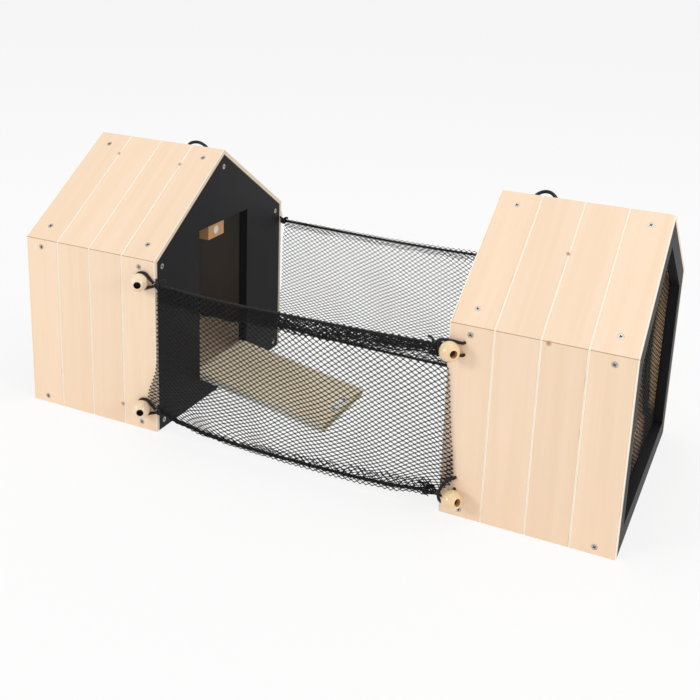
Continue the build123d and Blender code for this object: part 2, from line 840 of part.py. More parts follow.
# Run: nets, beads and elastic loops
nodes["run_frame"] = gable_frame(right, 0, left, False)
nodes["left_beads"] = placed(wall_bead(), both_faces(bead_planes()))
nodes["left_bead_screws"] = placed(bead_screw(), both_faces(bead_planes()))
left_loops = joined([left_net_loop(b, k) for b, k in zip(left_bead_heights, left_knot_heights)])
nodes["left_net_loops"] = doubled(left_loops)
nodes["left_net_knots"] = doubled(knots(left, left_knot_reach, left_knot_heights))
toggle_loops = joined([toggle_loop(h, e) for h, e in zip(loop_hole_heights, loop_end_heights)])
nodes["toggle_loops"] = doubled(toggle_loops)
toggles = [
    toggle_plane(*place)
    for place in zip(toggle_insets, toggle_heights, loop_hole_heights, right_knot_heights)
]
nodes["toggle_beads"] = doubled(placed(toggle_bead(), [plane for plane, reach in toggles]))
nodes["toggle_cords"] = doubled(joined([toggle_cord(plane, reach) for plane, reach in toggles]))
nodes["right_net_knots"] = doubled(knots(right, toggle_knot_reach, right_knot_heights))
net = run_net()
nodes["front_net"] = net
nodes["back_net"] = to_the_back(net)
drawcords = net_cords()
nodes["front_net_cords"] = drawcords
nodes["back_net_cords"] = to_the_back(drawcords)

os.makedirs("parts", exist_ok=True)
for name, part in nodes.items():
    part.label = name
    export_step(part, f"parts/{name}.step")

print("ramp lowered by", round(math.degrees(ramp_angle), 2), "degrees, hinge at", hinge_x, hinge_z)
print("drawcord bend radii", [round(r) for r in net_foot_route()[2]])
print("nodes", len(nodes))
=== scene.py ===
import math
from functools import partial

import bpy
from mathutils import Matrix, Vector


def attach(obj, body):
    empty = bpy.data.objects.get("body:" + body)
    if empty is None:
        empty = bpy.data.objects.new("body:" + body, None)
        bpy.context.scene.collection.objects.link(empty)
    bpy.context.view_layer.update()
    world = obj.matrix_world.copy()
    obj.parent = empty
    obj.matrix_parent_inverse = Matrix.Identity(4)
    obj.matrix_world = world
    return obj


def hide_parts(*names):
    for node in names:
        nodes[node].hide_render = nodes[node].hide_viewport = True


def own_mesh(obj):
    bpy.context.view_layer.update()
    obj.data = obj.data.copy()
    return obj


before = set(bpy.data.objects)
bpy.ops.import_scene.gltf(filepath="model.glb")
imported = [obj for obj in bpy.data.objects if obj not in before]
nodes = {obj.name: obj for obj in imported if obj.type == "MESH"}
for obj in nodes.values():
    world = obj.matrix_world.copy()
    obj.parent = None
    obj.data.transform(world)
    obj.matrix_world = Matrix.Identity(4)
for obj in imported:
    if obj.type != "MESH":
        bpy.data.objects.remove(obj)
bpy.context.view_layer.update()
mm = 0.001
print("frame loaded:", len(nodes), "nodes")

# sizes of the hutch in mm: the run lies along x, the front looks to -y
hutch = {
    "halfRun": 134.0,
    "houseLength": 140.0,
    "halfDepth": 113.0,
    "boardThick": 4.0,
    "eave": 161.0,
    "ridge": 238.0,
    "plankWidth": 35.0,
    "grooveWidth": 2.0,
    "rampAngle": 9.66,
    "netPlane": 113.0,
}
houses = {"left": -1, "right": 1}  # which way along x each house lies
quarter = math.pi / 2
roofAngle = math.atan2(hutch["ridge"] - hutch["eave"], hutch["halfDepth"])
roofSlope = math.hypot(hutch["ridge"] - hutch["eave"], hutch["halfDepth"])
roofSin, roofCos = math.sin(roofAngle), math.cos(roofAngle)
rampAngle = math.radians(hutch["rampAngle"])


def addObject(name, data):
    thing = bpy.data.objects.new(name, data)
    bpy.context.scene.collection.objects.link(thing)
    return thing


# camera, fitted to the corners of the two houses
view = {
    "azimuth": 24.46,
    "elevation": 15.54,
    "roll": 2.07,
    "distance": 0.918,
    "target": (-0.0037, 0.0, 0.2085),
    "lens": 53.13,
    "sensor": 36.0,
    "shiftY": -0.214,
}
azimuth, elevation = math.radians(view["azimuth"]), math.radians(view["elevation"])
backward = Vector((
    math.sin(azimuth) * math.cos(elevation), -math.cos(azimuth) * math.cos(elevation), math.sin(elevation)
))
cameraData = bpy.data.cameras.new("photoCamera")
cameraData.sensor_width = view["sensor"]
cameraData.lens = view["lens"]
cameraData.shift_y = view["shiftY"]
camera = addObject("photoCamera", cameraData)
stand = Matrix.Translation(Vector(view["target"]) + backward * view["distance"])
aim = (-backward).to_track_quat("-Z", "Y").to_matrix().to_4x4()
camera.matrix_world = stand @ aim @ Matrix.Rotation(math.radians(view["roll"]), 4, "Z")
bpy.context.scene.camera = camera
print("camera set")


# small helpers

def linearColour(text):
    values = [int(text[i:i + 2], 16) / 255 for i in (1, 3, 5)]
    return (*[v / 12.92 if v <= 0.04045 else ((v + 0.055) / 1.055) ** 2.4 for v in values], 1.0)


def addNode(tree, kind, inputs=None, **settings):
    # an input takes a value, a socket to link from, or a node for the first output that it has in use
    node = tree.nodes.new("ShaderNode" + kind)
    for name, value in settings.items():
        setattr(node, name, value)
    for name, value in (inputs or {}).items():
        if isinstance(value, bpy.types.Node):
            value = next(output for output in value.outputs if output.enabled)
        if isinstance(value, bpy.types.NodeSocket):
            tree.links.new(value, node.inputs[name])
        else:
            node.inputs[name].default_value = value
    return node


def newMaterial(name):
    # an empty material, and addNode for its own tree
    material = bpy.data.materials.new(name)
    material.use_nodes = True
    material.node_tree.nodes.clear()
    return material, partial(addNode, material.node_tree)


def setSurface(add, inputs, colour, rough=None, bump=None):
    # principled surface on the output; rough and bump pair their settings with the node that drives them
    inputs = {**inputs, "Base Color": colour}
    if rough:
        inputs["Roughness"] = add("MapRange", {0: rough[1], **rough[0]})
    if bump:
        inputs["Normal"] = add("Bump", {"Height": bump[1], **bump[0]})
    add("OutputMaterial", {"Surface": add("BsdfPrincipled", inputs)})


def meshPiece(name, shape, material, smooth=True):
    # shape holds points, faces and one uv for each point, or no uvs at all
    verts, faces, uvs = shape
    data = bpy.data.meshes.new(name)
    data.from_pydata([tuple(v) for v in verts], [], faces)
    if uvs:
        layer = data.uv_layers.new(name="UVMap")
        for loop in data.loops:
            layer.data[loop.index].uv = uvs[loop.vertex_index]
    data.polygons.foreach_set("use_smooth", [smooth] * len(data.polygons))
    data.materials.append(material)
    data.update()
    return addObject(name, data)


def fitPiece(piece, body, node):
    # rides on a body and stands for a node of the frame
    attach(piece, body)
    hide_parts(node)


def splineLine(points, steps=10):
    # the cord's own line, read from a NURBS spline with its route as control points
    data = bpy.data.curves.new("route", "CURVE")
    data.dimensions = "3D"
    data.resolution_u = steps
    spline = data.splines.new("NURBS")
    spline.points.add(len(points) - 1)
    for point, place in zip(spline.points, points):
        point.co = (*[c * mm for c in place], 1.0)
    spline.order_u = 3
    spline.use_endpoint_u = True
    holder = addObject("route", data)
    bpy.context.view_layer.update()
    mesh = bpy.data.meshes.new_from_object(holder)
    line = [v.co.copy() for v in mesh.vertices]
    bpy.data.objects.remove(holder)
    bpy.data.meshes.remove(mesh)
    bpy.data.curves.remove(data)
    return line


def ringFaces(a, b, sides):
    # faces between two rings that begin at the points a and b
    return [(a + k, a + (k + 1) % sides, b + (k + 1) % sides, b + k) for k in range(sides)]


def addTube(shape, line, radius, sides, side=None, closed=False):
    # rings round the line; radius is one number, or a list with one for each point
    verts, faces, uvs = shape
    count = len(line)
    first = len(verts)
    travelled = 0.0
    normal = side
    for i, point in enumerate(line):
        before = line[i - 1] if i or closed else line[0]
        after = line[(i + 1) % count] if i < count - 1 or closed else line[-1]
        along = (after - before).normalized()
        if normal is None:
            normal = along.orthogonal().normalized()
        across = (side if side is not None else normal).cross(along).normalized()
        normal = along.cross(across)
        r = radius[i] if isinstance(radius, list) else radius
        if i:
            travelled += (point - line[i - 1]).length
        for k in range(sides):
            turn = math.tau * k / sides
            verts.append(point + across * (r * math.cos(turn)) + normal * (r * math.sin(turn)))
            uvs.append((k / sides, travelled / mm))
    for i in range(count if closed else count - 1):
        faces += ringFaces(first + i * sides, first + (i + 1) % count * sides, sides)
    if not closed:
        last = first + (count - 1) * sides
        faces.append(tuple(first + k for k in reversed(range(sides))))
        faces.append(tuple(last + k for k in range(sides)))


def lengthOf(line):
    return sum((b - a).length for a, b in zip(line, line[1:]))


# materials; ranges are keyed by the sockets of a map range node: 1 and 2 from, 3 and 4 to

def basswoodPly(name, turn, seed, tones=("#f9dec2", "#f0cda7"), outer=None, edge=None):
    # basswood veneer on plywood, sanded and clear coated: pale, close grain along the planks, soft gloss;
    # the V-grooves show whiter wood with a scorched edge, the cut ends show the plies
    wood = {
        "planks": {3: 0.965, 4: 1.014},  # how far the planks differ in tone
        "plankShift": 0.3,  # how far the grain moves from plank to plank, in m
        "houseStep": 7.3,  # keeps the planks of the two houses apart
        # grain and growth bands as mm across, mm along and the noise's own settings
        "grain": (1.1, 85.0, {"Detail": 4.0, "Roughness": 0.6}),
        "bands": (9.0, 300.0, {"Detail": 2.0, "Distortion": 0.6}),
        "grainShows": {1: 0.42, 2: 0.78},
        "bandsShow": {1: 0.40, 2: 0.75},
        "grainShare": 0.45,
        "figure": 0.36,  # how much the grain and bands show
        "faceBand": 1.4,  # mm under the outer face that take its marks
        "groove": "#fef8ea",
        "grooveEdge": (-0.05, -0.35),  # mm from the groove's side, where its colour begins and is full
        "scorch": "#8f5a2a",
        "scorchEdge": (0.45, 0.1),
        "scorchLength": 21.0,
        "scorchShows": {1: 0.62, 2: 0.74, 3: 0.12, 4: 0.5},
        "mitreLine": 0.6,
        "knot": "#a9621f",
        "knotCore": 0.3,
        "knotShare": 0.75,
        # pin knots as (middle, radius): in roof grooves, under an eave, low on a wall
        "knots": [
            ((203.2, -45.0, 207.3), 2.4), ((209.5, -113.0, 159.6), 2.6), ((-170.8, -113.0, 19.0), 2.6),
            ((-239.5, -19.5, 224.8), 2.2), ((-169.4, -21.0, 223.7), 2.4),
        ],
        "insideShade": "#17120e",  # painted shade inside the left house
        "insideShadeShare": 0.95,
        "insideShadeDeep": 0.6,  # mm that the painted shade reaches into the board
        "endGrain": "#f6ead7",
        "glue": "#d6b890",
        "ply": 1.33,
        "plyShare": 0.55,
        "square": 0.9,  # a face counts as an end or edge if its normal has this much of the axis
        "rough": {3: 0.46, 4: 0.60},
        "relief": {"Strength": 0.25, "Distance": 0.12 * mm},
    }
    material, add = newMaterial(name)
    place = add("TexCoord").outputs["Object"]
    lie = add("Mapping", {"Vector": place, "Rotation": turn})
    flat = add("SeparateXYZ", {"Vector": place}).outputs
    laid = add("SeparateXYZ", {"Vector": lie}).outputs

    # which plank: its number shifts the grain and the tone
    reach = add("Math", {0: flat["X"]}, operation="ABSOLUTE")
    pastEdge = add("Math", {0: reach, 1: hutch["halfRun"] * mm}, operation="SUBTRACT")
    plank = add("Math", {0: pastEdge, 1: hutch["plankWidth"] * mm}, operation="DIVIDE")
    number = add("Math", {0: plank}, operation="FLOOR")
    house = add("Math", {0: flat["X"]}, operation="SIGN")
    label = add("Math", {0: house, 1: wood["houseStep"], 2: seed}, operation="MULTIPLY_ADD")
    key = add("Math", {0: number, 1: label}, operation="ADD")
    tone = add("TexWhiteNoise", {"W": key}, noise_dimensions="1D").outputs
    shift = [wood["plankShift"]] * 3
    shifted = add("VectorMath", {0: tone["Color"], 1: shift, 2: lie}, operation="MULTIPLY_ADD")

    # fine grain and broad growth bands, both stretched along the plank
    figures = []
    for across, along, noise in (wood["grain"], wood["bands"]):
        fine = 1.0 / (across * mm)
        spot = add("Mapping", {"Vector": shifted, "Scale": (fine, fine, 1.0 / (along * mm))})
        figures.append(add("TexNoise", {"Vector": spot, "Scale": 1.0, **noise}))
    grain, bands = figures
    grainShows = add("MapRange", {0: grain, **wood["grainShows"]})
    bandsShow = add("MapRange", {0: bands, **wood["bandsShow"]})
    shares = {0: grainShows, 1: wood["grainShare"], 2: bandsShow}
    mixed = add("Math", shares, operation="MULTIPLY_ADD", use_clamp=True)
    figure = add("Math", {0: mixed, 1: wood["figure"]}, operation="MULTIPLY")
    pale, dark = [linearColour(text) for text in tones]
    veneer = add("Mix", {0: figure, 6: pale, 7: dark}, data_type="RGBA")
    shade = add("MapRange", {0: tone["Value"], **wood["planks"]})
    colour = add("VectorMath", {0: veneer, "Scale": shade}, operation="SCALE")
    normal = add("NewGeometry").outputs["True Normal"]
    facing = add("SeparateXYZ", {"Vector": normal}).outputs

    # what lies over the veneer, each as its share and its colour
    layers = []
    if edge:
        # long edges painted paler than the veneer, as painted light, and the tip's end face darker, partly
        # end grain and partly painted shade
        litLongEdge, shadedTipEnd, tipAt = edge
        sideOn = add("Math", {0: facing["Y"]}, operation="ABSOLUTE")
        for value, limit, tint in ((sideOn, wood["square"], litLongEdge), (laid["Z"], tipAt * mm, shadedTipEnd)):
            layers.append((add("Math", {0: value, 1: limit}, operation="GREATER_THAN"), tint))
    if outer:
        faceOffset, mitreSide, mitreAt = outer
        # distance to the nearest groove in mm, on the outer face only
        near = add("Math", {0: plank, 1: 0.5}, operation="PINGPONG")
        gap = add("Math", {0: near, 1: hutch["plankWidth"]}, operation="MULTIPLY")
        depth = add("Math", {0: laid["Y"]}, operation="ABSOLUTE")
        faceFrom = faceOffset - wood["faceBand"] * mm
        outside = add("Math", {0: depth, 1: faceFrom}, operation="GREATER_THAN")
        half = hutch["grooveWidth"] / 2
        inGroove, atEdge = [
            add("MapRange", {0: gap, 1: half + begins, 2: half + full})
            for begins, full in (wood["grooveEdge"], wood["scorchEdge"])
        ]
        scorchSize = 1.0 / (wood["scorchLength"] * mm)
        burnt = add("TexNoise", {"Vector": shifted, "Scale": scorchSize, "Detail": 2.0})
        burntShows = add("MapRange", {0: burnt, **wood["scorchShows"]})
        scorch = add("Math", {0: atEdge, 1: burntShows}, operation="MULTIPLY")
        # a thin dark line where wall and roof meet in their mitre
        mitre = add("Math", {0: laid["Z"], 1: mitreAt}, operation=mitreSide)
        mitreLine = add("Math", {0: mitre, 1: wood["mitreLine"]}, operation="MULTIPLY")
        for share, tint in ((scorch, "scorch"), (inGroove, "groove"), (mitreLine, "scorch")):
            shown = add("Math", {0: share, 1: outside}, operation="MULTIPLY")
            layers.append((shown, wood[tint]))
        for middle, radius in wood["knots"]:
            knotAt = [c * mm for c in middle]
            away = add("VectorMath", {0: place, 1: knotAt}, operation="DISTANCE")
            fades = {1: radius * mm, 2: wood["knotCore"] * radius * mm, 4: wood["knotShare"]}
            layers.append((add("MapRange", {0: away, **fades}), wood["knot"]))
        # painted shade: the inside faces of the left house are darkened for the deep shade inside it
        insideShadeFrom = faceOffset - (hutch["boardThick"] - wood["insideShadeDeep"]) * mm
        inner = add("Math", {0: depth, 1: insideShadeFrom}, operation="LESS_THAN")
        onLeft = add("Math", {0: flat["X"], 1: 0.0}, operation="LESS_THAN")
        insideShaded = add("Math", {0: inner, 1: onLeft}, operation="MULTIPLY")
        insideShadeShare = add("Math", {0: insideShaded, 1: wood["insideShadeShare"]}, operation="MULTIPLY")
        layers.append((insideShadeShare, wood["insideShade"]))
    for share, tint in layers:
        colour = add("Mix", {0: share, 6: colour, 7: linearColour(tint)}, data_type="RGBA")

    if outer:
        # cut ends: three plies, with the glue line between them
        endOn = add("Math", {0: facing["X"]}, operation="ABSOLUTE")
        cutEnd = add("Math", {0: endOn, 1: wood["square"]}, operation="GREATER_THAN")
        plyNumber = add("Math", {0: depth, 1: 1.0 / (wood["ply"] * mm)}, operation="MULTIPLY")
        plyWave = add("Math", {0: plyNumber, 1: 1.0}, operation="PINGPONG")
        pale, dark = [linearColour(wood[tint]) for tint in ("endGrain", "glue")]
        plies = add("Mix", {0: plyWave, 6: pale, 7: dark}, data_type="RGBA")
        plyShare = add("Math", {0: cutEnd, 1: wood["plyShare"]}, operation="MULTIPLY")
        colour = add("Mix", {0: plyShare, 6: colour, 7: plies}, data_type="RGBA")

    setSurface(add, {"IOR": 1.5}, colour, (wood["rough"], grain), (wood["relief"], grain))
    return material


def blackLacqueredMdf():
    # MDF sprayed with matt black lacquer: even and deep, a faint orange peel, soft wide highlights
    lacquer = {
        "dark": "#0b0b0f",
        "worn": "#131318",
        "peel": (1.6, 2.0),  # size in mm and detail
        "cloud": (60.0, 3.0),
        "rough": {3: 0.52, 4: 0.64},
        "relief": {"Strength": 0.12, "Distance": 0.1 * mm},
        "surface": {"IOR": 1.5, "Specular IOR Level": 0.22},
    }
    material, add = newMaterial("blackLacqueredMdf")
    place = add("TexCoord").outputs["Object"]
    peel, cloud = [
        add("TexNoise", {"Vector": place, "Scale": 1.0 / (size * mm), "Detail": detail})
        for size, detail in (lacquer["peel"], lacquer["cloud"])
    ]
    dark, worn = [linearColour(lacquer[tint]) for tint in ("dark", "worn")]
    tint = add("Mix", {0: cloud, 6: dark, 7: worn}, data_type="RGBA")
    setSurface(add, lacquer["surface"], tint, (lacquer["rough"], cloud), (lacquer["relief"], peel))
    return material


def turnedBirch(name, pale, dark, gloss):
    # birch ball turned on a lathe and lacquered: fine straight grain through the ball under a clear wet coat
    bead = {
        "grain": 0.9,
        "length": 16.0,
        "lie": (0.5, 0.35, 0.2),
        "shows": {1: 0.38, 2: 0.72},
        "rough": {3: 0.32, 4: 0.46},
        "relief": {"Strength": 0.08, "Distance": 0.1 * mm},
    }
    material, add = newMaterial(name)
    fine = 1.0 / (bead["grain"] * mm)
    stretch = (fine, fine, 1.0 / (bead["length"] * mm))
    place = add("TexCoord").outputs["Object"]
    spot = add("Mapping", {"Vector": place, "Rotation": bead["lie"], "Scale": stretch})
    grain = add("TexNoise", {"Vector": spot, "Scale": 1.0, "Detail": 3.0})
    shows = add("MapRange", {0: grain, **bead["shows"]})
    tint = add("Mix", {0: shows, 6: linearColour(pale), 7: linearColour(dark)}, data_type="RGBA")
    coat = {"IOR": 1.5, "Coat Weight": gloss, "Coat Roughness": 0.05}
    setSurface(add, coat, tint, (bead["rough"], grain), (bead["relief"], grain))
    return material


def platedSteel(name, bright, dull, rough):
    # pressed steel with a thin plated skin: grey metal with a dull bloom in small clouds
    bloomSize = 2.2
    material, add = newMaterial(name)
    place = add("TexCoord").outputs["Object"]
    bloom = add("TexNoise", {"Vector": place, "Scale": 1.0 / (bloomSize * mm), "Detail": 4.0})
    tint = add("Mix", {0: bloom, 6: linearColour(bright), 7: linearColour(dull)}, data_type="RGBA")
    setSurface(add, {"Metallic": 1.0}, tint, (rough, bloom))
    return material


def blackYarn(name, yarn):
    # yarns that wind round a cord, read from its uv: the share of a turn, and mm along it
    material, add = newMaterial(name)
    uv = add("SeparateXYZ", {"Vector": add("UVMap", uv_map="UVMap")}).outputs
    lay = add("Math", {0: uv["Y"], 1: math.tau / yarn["pitch"]}, operation="MULTIPLY")
    high = None
    for count in yarn["yarns"]:
        turn = add("Math", {0: uv["X"], 1: math.pi * count, 2: lay}, operation="MULTIPLY_ADD")
        wave = add("Math", {0: turn}, operation="SINE")
        high = add("Math", {0: high, 1: wave}, operation="MAXIMUM") if high else wave
    share = add("MapRange", {0: high, **yarn["shows"]})
    black, lit = [linearColour(yarn[tint]) for tint in ("black", "lit")]
    tint = add("Mix", {0: share, 6: black, 7: lit}, data_type="RGBA")
    setSurface(add, yarn["surface"], tint, bump=(yarn["relief"], share) if yarn["relief"] else None)
    return material


# how the grain turns in upright and lying boards, where outer faces lie, where walls and roofs meet
upright, lying = (0, 0, 0), (0, -quarter, 0)
wallFace = hutch["halfDepth"] * mm
roofFace = (hutch["halfDepth"] * roofSin + hutch["eave"] * roofCos) * mm
mitreWidth = 0.4
wallOuter = (wallFace, "GREATER_THAN", (hutch["eave"] - mitreWidth) * mm)
roofFoot = hutch["eave"] * roofSin - hutch["halfDepth"] * roofCos
roofOuter = (roofFace, "LESS_THAN", (roofFoot + mitreWidth) * mm)
frontTurn, backTurn = (quarter - roofAngle, 0, 0), (roofAngle - quarter, 0, 0)
wallWood = basswoodPly("basswoodPlyWall", upright, seed=10.28, outer=wallOuter)
frontRoofWood = basswoodPly("basswoodPlyFrontRoof", frontTurn, seed=17.89, outer=roofOuter)
backRoofWood = basswoodPly("basswoodPlyBackRoof", backTurn, seed=17.89, outer=roofOuter)
floorWood = basswoodPly("basswoodPlyFloor", lying, seed=1.46)
rampTurn = (0, -quarter - rampAngle, 0)
# the ramp's long edges are painted light; its tip is darker, partly end grain and partly painted shade
rampEdge = ("#fffaea", "#c4b88c", -3.3)  # long edges, tip, and where the tip ends along the ramp in mm
# the ramp's veneer tones are paler than the walls', as painted light against the shade that the net casts on
# it
rampWood = basswoodPly("basswoodPlyRamp", rampTurn, seed=2.73, tones=("#fdf0d2", "#f6e2bd"), edge=rampEdge)
# solid pine shares the grain but has no plies: warmer and darker than the veneer; the stop block is darker
# still, as painted shade for its place inside the house
pine = ("#eed3a8", "#d9b07a")
postWood = basswoodPly("planedPinePosts", upright, seed=4.55, tones=pine)
stopWood = basswoodPly("shadedPineStopBlock", upright, seed=4.55, tones=("#d9a470", "#c48a55"))
battenWood = basswoodPly("planedPineBattens", lying, seed=5.46, tones=pine)
blackPanel = blackLacqueredMdf()
# the bores stay without the coat: painted dark in the wall beads for the shade deep in their mouths, warm
# bare wood in the toggle beads
wallBeadWood = turnedBirch("turnedBirchWallBead", "#f6dec0", "#efd2ad", gloss=0.6)
wallBore = turnedBirch("shadedBirchBore", "#2a1c10", "#17100a", gloss=0.0)
toggleBeadWood = turnedBirch("turnedBirchToggleBead", "#f2d5a9", "#e9c694", gloss=1.0)
toggleBore = turnedBirch("drilledBirchBore", "#dca468", "#c4864a", gloss=0.0)
# zinc is bright, brightest on the catch; blacked steel is nearly as dark as the panels; the cross recesses
# and bevelled rims of the screw heads are painted darker as shade
screwSteel = platedSteel("zincPlatedScrewSteel", "#d8d6d0", "#8f8d87", rough={3: 0.25, 4: 0.45})
blackedSteel = platedSteel("blackedScrewSteel", "#3a3836", "#1c1b1a", rough={3: 0.40, 4: 0.55})
recessShadeSteel = platedSteel("shadedRecessSteel", "#6b6863", "#3c3a37", rough={3: 0.40, 4: 0.55})
plateSteel = platedSteel("zincPlatedCatchSteel", "#f8f8f6", "#dedcd7", rough={3: 0.42, 4: 0.56})
# round elastic cord in a black polyester braid: two sets of yarns that cross, matt with a slight sheen;
# the braid is drawn about twice as coarse as the real one, so that it shows
elastic = blackYarn("braidedPolyesterElastic", {
    "yarns": (8, -8),
    "pitch": 1.9,
    "shows": {1: -0.4, 2: 1.0},
    "black": "#08080a",
    "lit": "#1c1c20",
    "relief": {"Strength": 0.6, "Distance": 0.2 * mm},
    "surface": {"Roughness": 0.65, "Specular IOR Level": 0.3, "Sheen Weight": 0.05},
})
# knotless net of twisted black polyester twine: dark, its fibres catch a little light along each twist
netTwine = blackYarn("knotlessPolyesterNet", {
    "yarns": (4,),
    "pitch": 1.2,
    "shows": {1: -1.0, 2: 1.0},
    "black": "#060607",
    "lit": "#141417",
    "relief": None,
    "surface": {"Roughness": 0.75, "Specular IOR Level": 0.22, "Sheen Weight": 0.03},
})

houseFinish = {
    "front_wall": wallWood,
    "back_wall": wallWood,
    "front_roof": frontRoofWood,
    "back_roof": backRoofWood,
    "corner_posts": postWood,
    "ridge_batten": battenWood,
    "floor": floorWood,
    "floor_bearers": battenWood,
    "window_frame": blackPanel,
}
ownFinish = {
    "door_panel": blackPanel,
    "run_frame": blackPanel,
    "ramp_board": rampWood,
    "door_stop_block": stopWood,
    "catch_magnet": plateSteel,
    "catch_plate": plateSteel,
    "hinge_pins": screwSteel,
}
for house in houses:
    for name, material in houseFinish.items():
        ownFinish[f"{house}_{name}"] = material
for name, material in ownFinish.items():
    nodes[name].data.materials.clear()
    nodes[name].data.materials.append(material)
print("materials on", len(ownFinish), "nodes")


# elastic cord: net loops, toggle loops and carry loops

cords = {
    "radius": 1.2,
    "sides": 12,
    "wallBeadX": -145.5,
    "wallBeadZ": {"upper": 142.5, "lower": 23.0},
    "wallLoopOut": 1.5,
    # from the knot round the neck of a wall bead and back, as (x, z) about the bead's middle
    "wallLoop": [
        (11.2, -0.7), (5.0, 5.3), (2.6, 7.6), (-4.0, 6.9), (-7.9, 1.5), (-6.3, -5.0), (-0.4, -8.0),
        (2.7, -6.8), (11.2, -3.4),
    ],
    "toggleEndX": 131.8,
    "toggleEndZ": {"upper": 141.7, "lower": 17.0},
    # from one hole in the wall to the other, as (x, out of the wall, z) about the loop's round end
    "upperToggleLoop": [
        (14.7, -12.0, 5.0), (14.7, -3.0, 5.0), (14.7, 2.4, 5.0), (10.0, 2.4, 5.3), (4.0, 2.4, 5.5),
        (-2.3, 2.4, 5.2), (-5.1, 2.4, 2.1), (-5.1, 2.4, -2.1), (-2.1, 2.4, -5.0), (5.0, 2.4, -5.1),
        (10.0, 2.4, -5.0), (14.7, 2.4, -5.0), (14.7, -3.0, -5.0), (14.7, -12.0, -5.0),
    ],
    "lowerToggleLoop": [
        (14.7, -12.0, 16.3), (14.7, -3.0, 16.3), (14.7, 2.4, 16.3), (11.8, 2.8, 15.8), (8.6, 3.8, 13.2),
        (5.6, 5.6, 9.0), (3.8, 7.2, 3.4), (4.2, 7.2, -2.0), (6.8, 5.6, -5.2), (9.8, 3.8, -4.6),
        (11.8, 2.8, -1.4), (13.4, 2.4, 2.6), (14.7, 2.4, 6.3), (14.7, -3.0, 6.3), (14.7, -12.0, 6.3),
    ],
    "carryRadius": 1.5,
    "carryAcross": 35.0,
    "carryDown": 11.0,
    # as (across the roof, out of it, down it) about the middle between the two holes
    "leftCarryLoop": [
        (-10.0, -12.0, 0.0), (-10.0, -2.0, 0.0), (-12.6, 3.2, 0.6), (-11.4, 7.6, 3.0), (-5.4, 9.4, 4.4),
        (2.0, 7.2, 3.2), (8.6, 3.6, 1.2), (10.0, -2.0, 0.0), (10.0, -12.0, 0.0),
    ],
    "rightCarryLoop": [
        (-10.0, -12.0, 0.0), (-10.0, -2.0, 0.0), (-9.8, 2.4, 0.5), (-7.6, 6.2, 2.4), (-3.8, 9.2, 4.0),
        (1.4, 9.4, 4.2), (5.4, 6.6, 2.8), (8.8, 2.8, 0.8), (10.0, -2.0, 0.0), (10.0, -12.0, 0.0),
    ],
}


def cordPiece(name, route, radius, body, node):
    # one piece of elastic, with both its ends in the object
    line = splineLine(route)
    shape = ([], [], [])
    addTube(shape, line, radius * mm, cords["sides"])
    piece = meshPiece(name, shape, elastic)
    fitPiece(piece, body, node)
    [c * mm for c in route[0]]
    lengthOf(line)
    return piece


for level in ("upper", "lower"):
    for side, way in (("Front", -1), ("Back", 1)):
        plane = way * (hutch["halfDepth"] + cords["wallLoopOut"])
        z = cords["wallBeadZ"][level]
        route = [(cords["wallBeadX"] + x, plane, z + dz) for x, dz in cords["wallLoop"]]
        cordPiece(f"{level}{side}NetLoop", route, cords["radius"], "left_house", "left_net_loops")
        z = cords["toggleEndZ"][level]
        route = [
            (cords["toggleEndX"] + x, way * (hutch["halfDepth"] + out), z + dz)
            for x, out, dz in cords[level + "ToggleLoop"]
        ]
        cordPiece(f"{level}{side}ToggleLoop", route, cords["radius"], "right_house", "toggle_loops")
outward, downhill = Vector((0, roofSin, roofCos)), Vector((0, roofCos, -roofSin))
for house, way in houses.items():
    ridge = Vector((way * (hutch["halfRun"] + cords["carryAcross"]), 0, hutch["ridge"]))
    middle = ridge + downhill * cords["carryDown"]
    route = [
        middle + Vector((across, 0, 0)) + outward * out + downhill * down
        for across, out, down in cords[house + "CarryLoop"]
    ]
    cordPiece(f"{house}CarryLoop", route, cords["carryRadius"], f"{house}_house", f"{house}_carry_loop")
print("elastic loops laid")


# run nets: knotless diamond net, hung between the houses on two drawcords

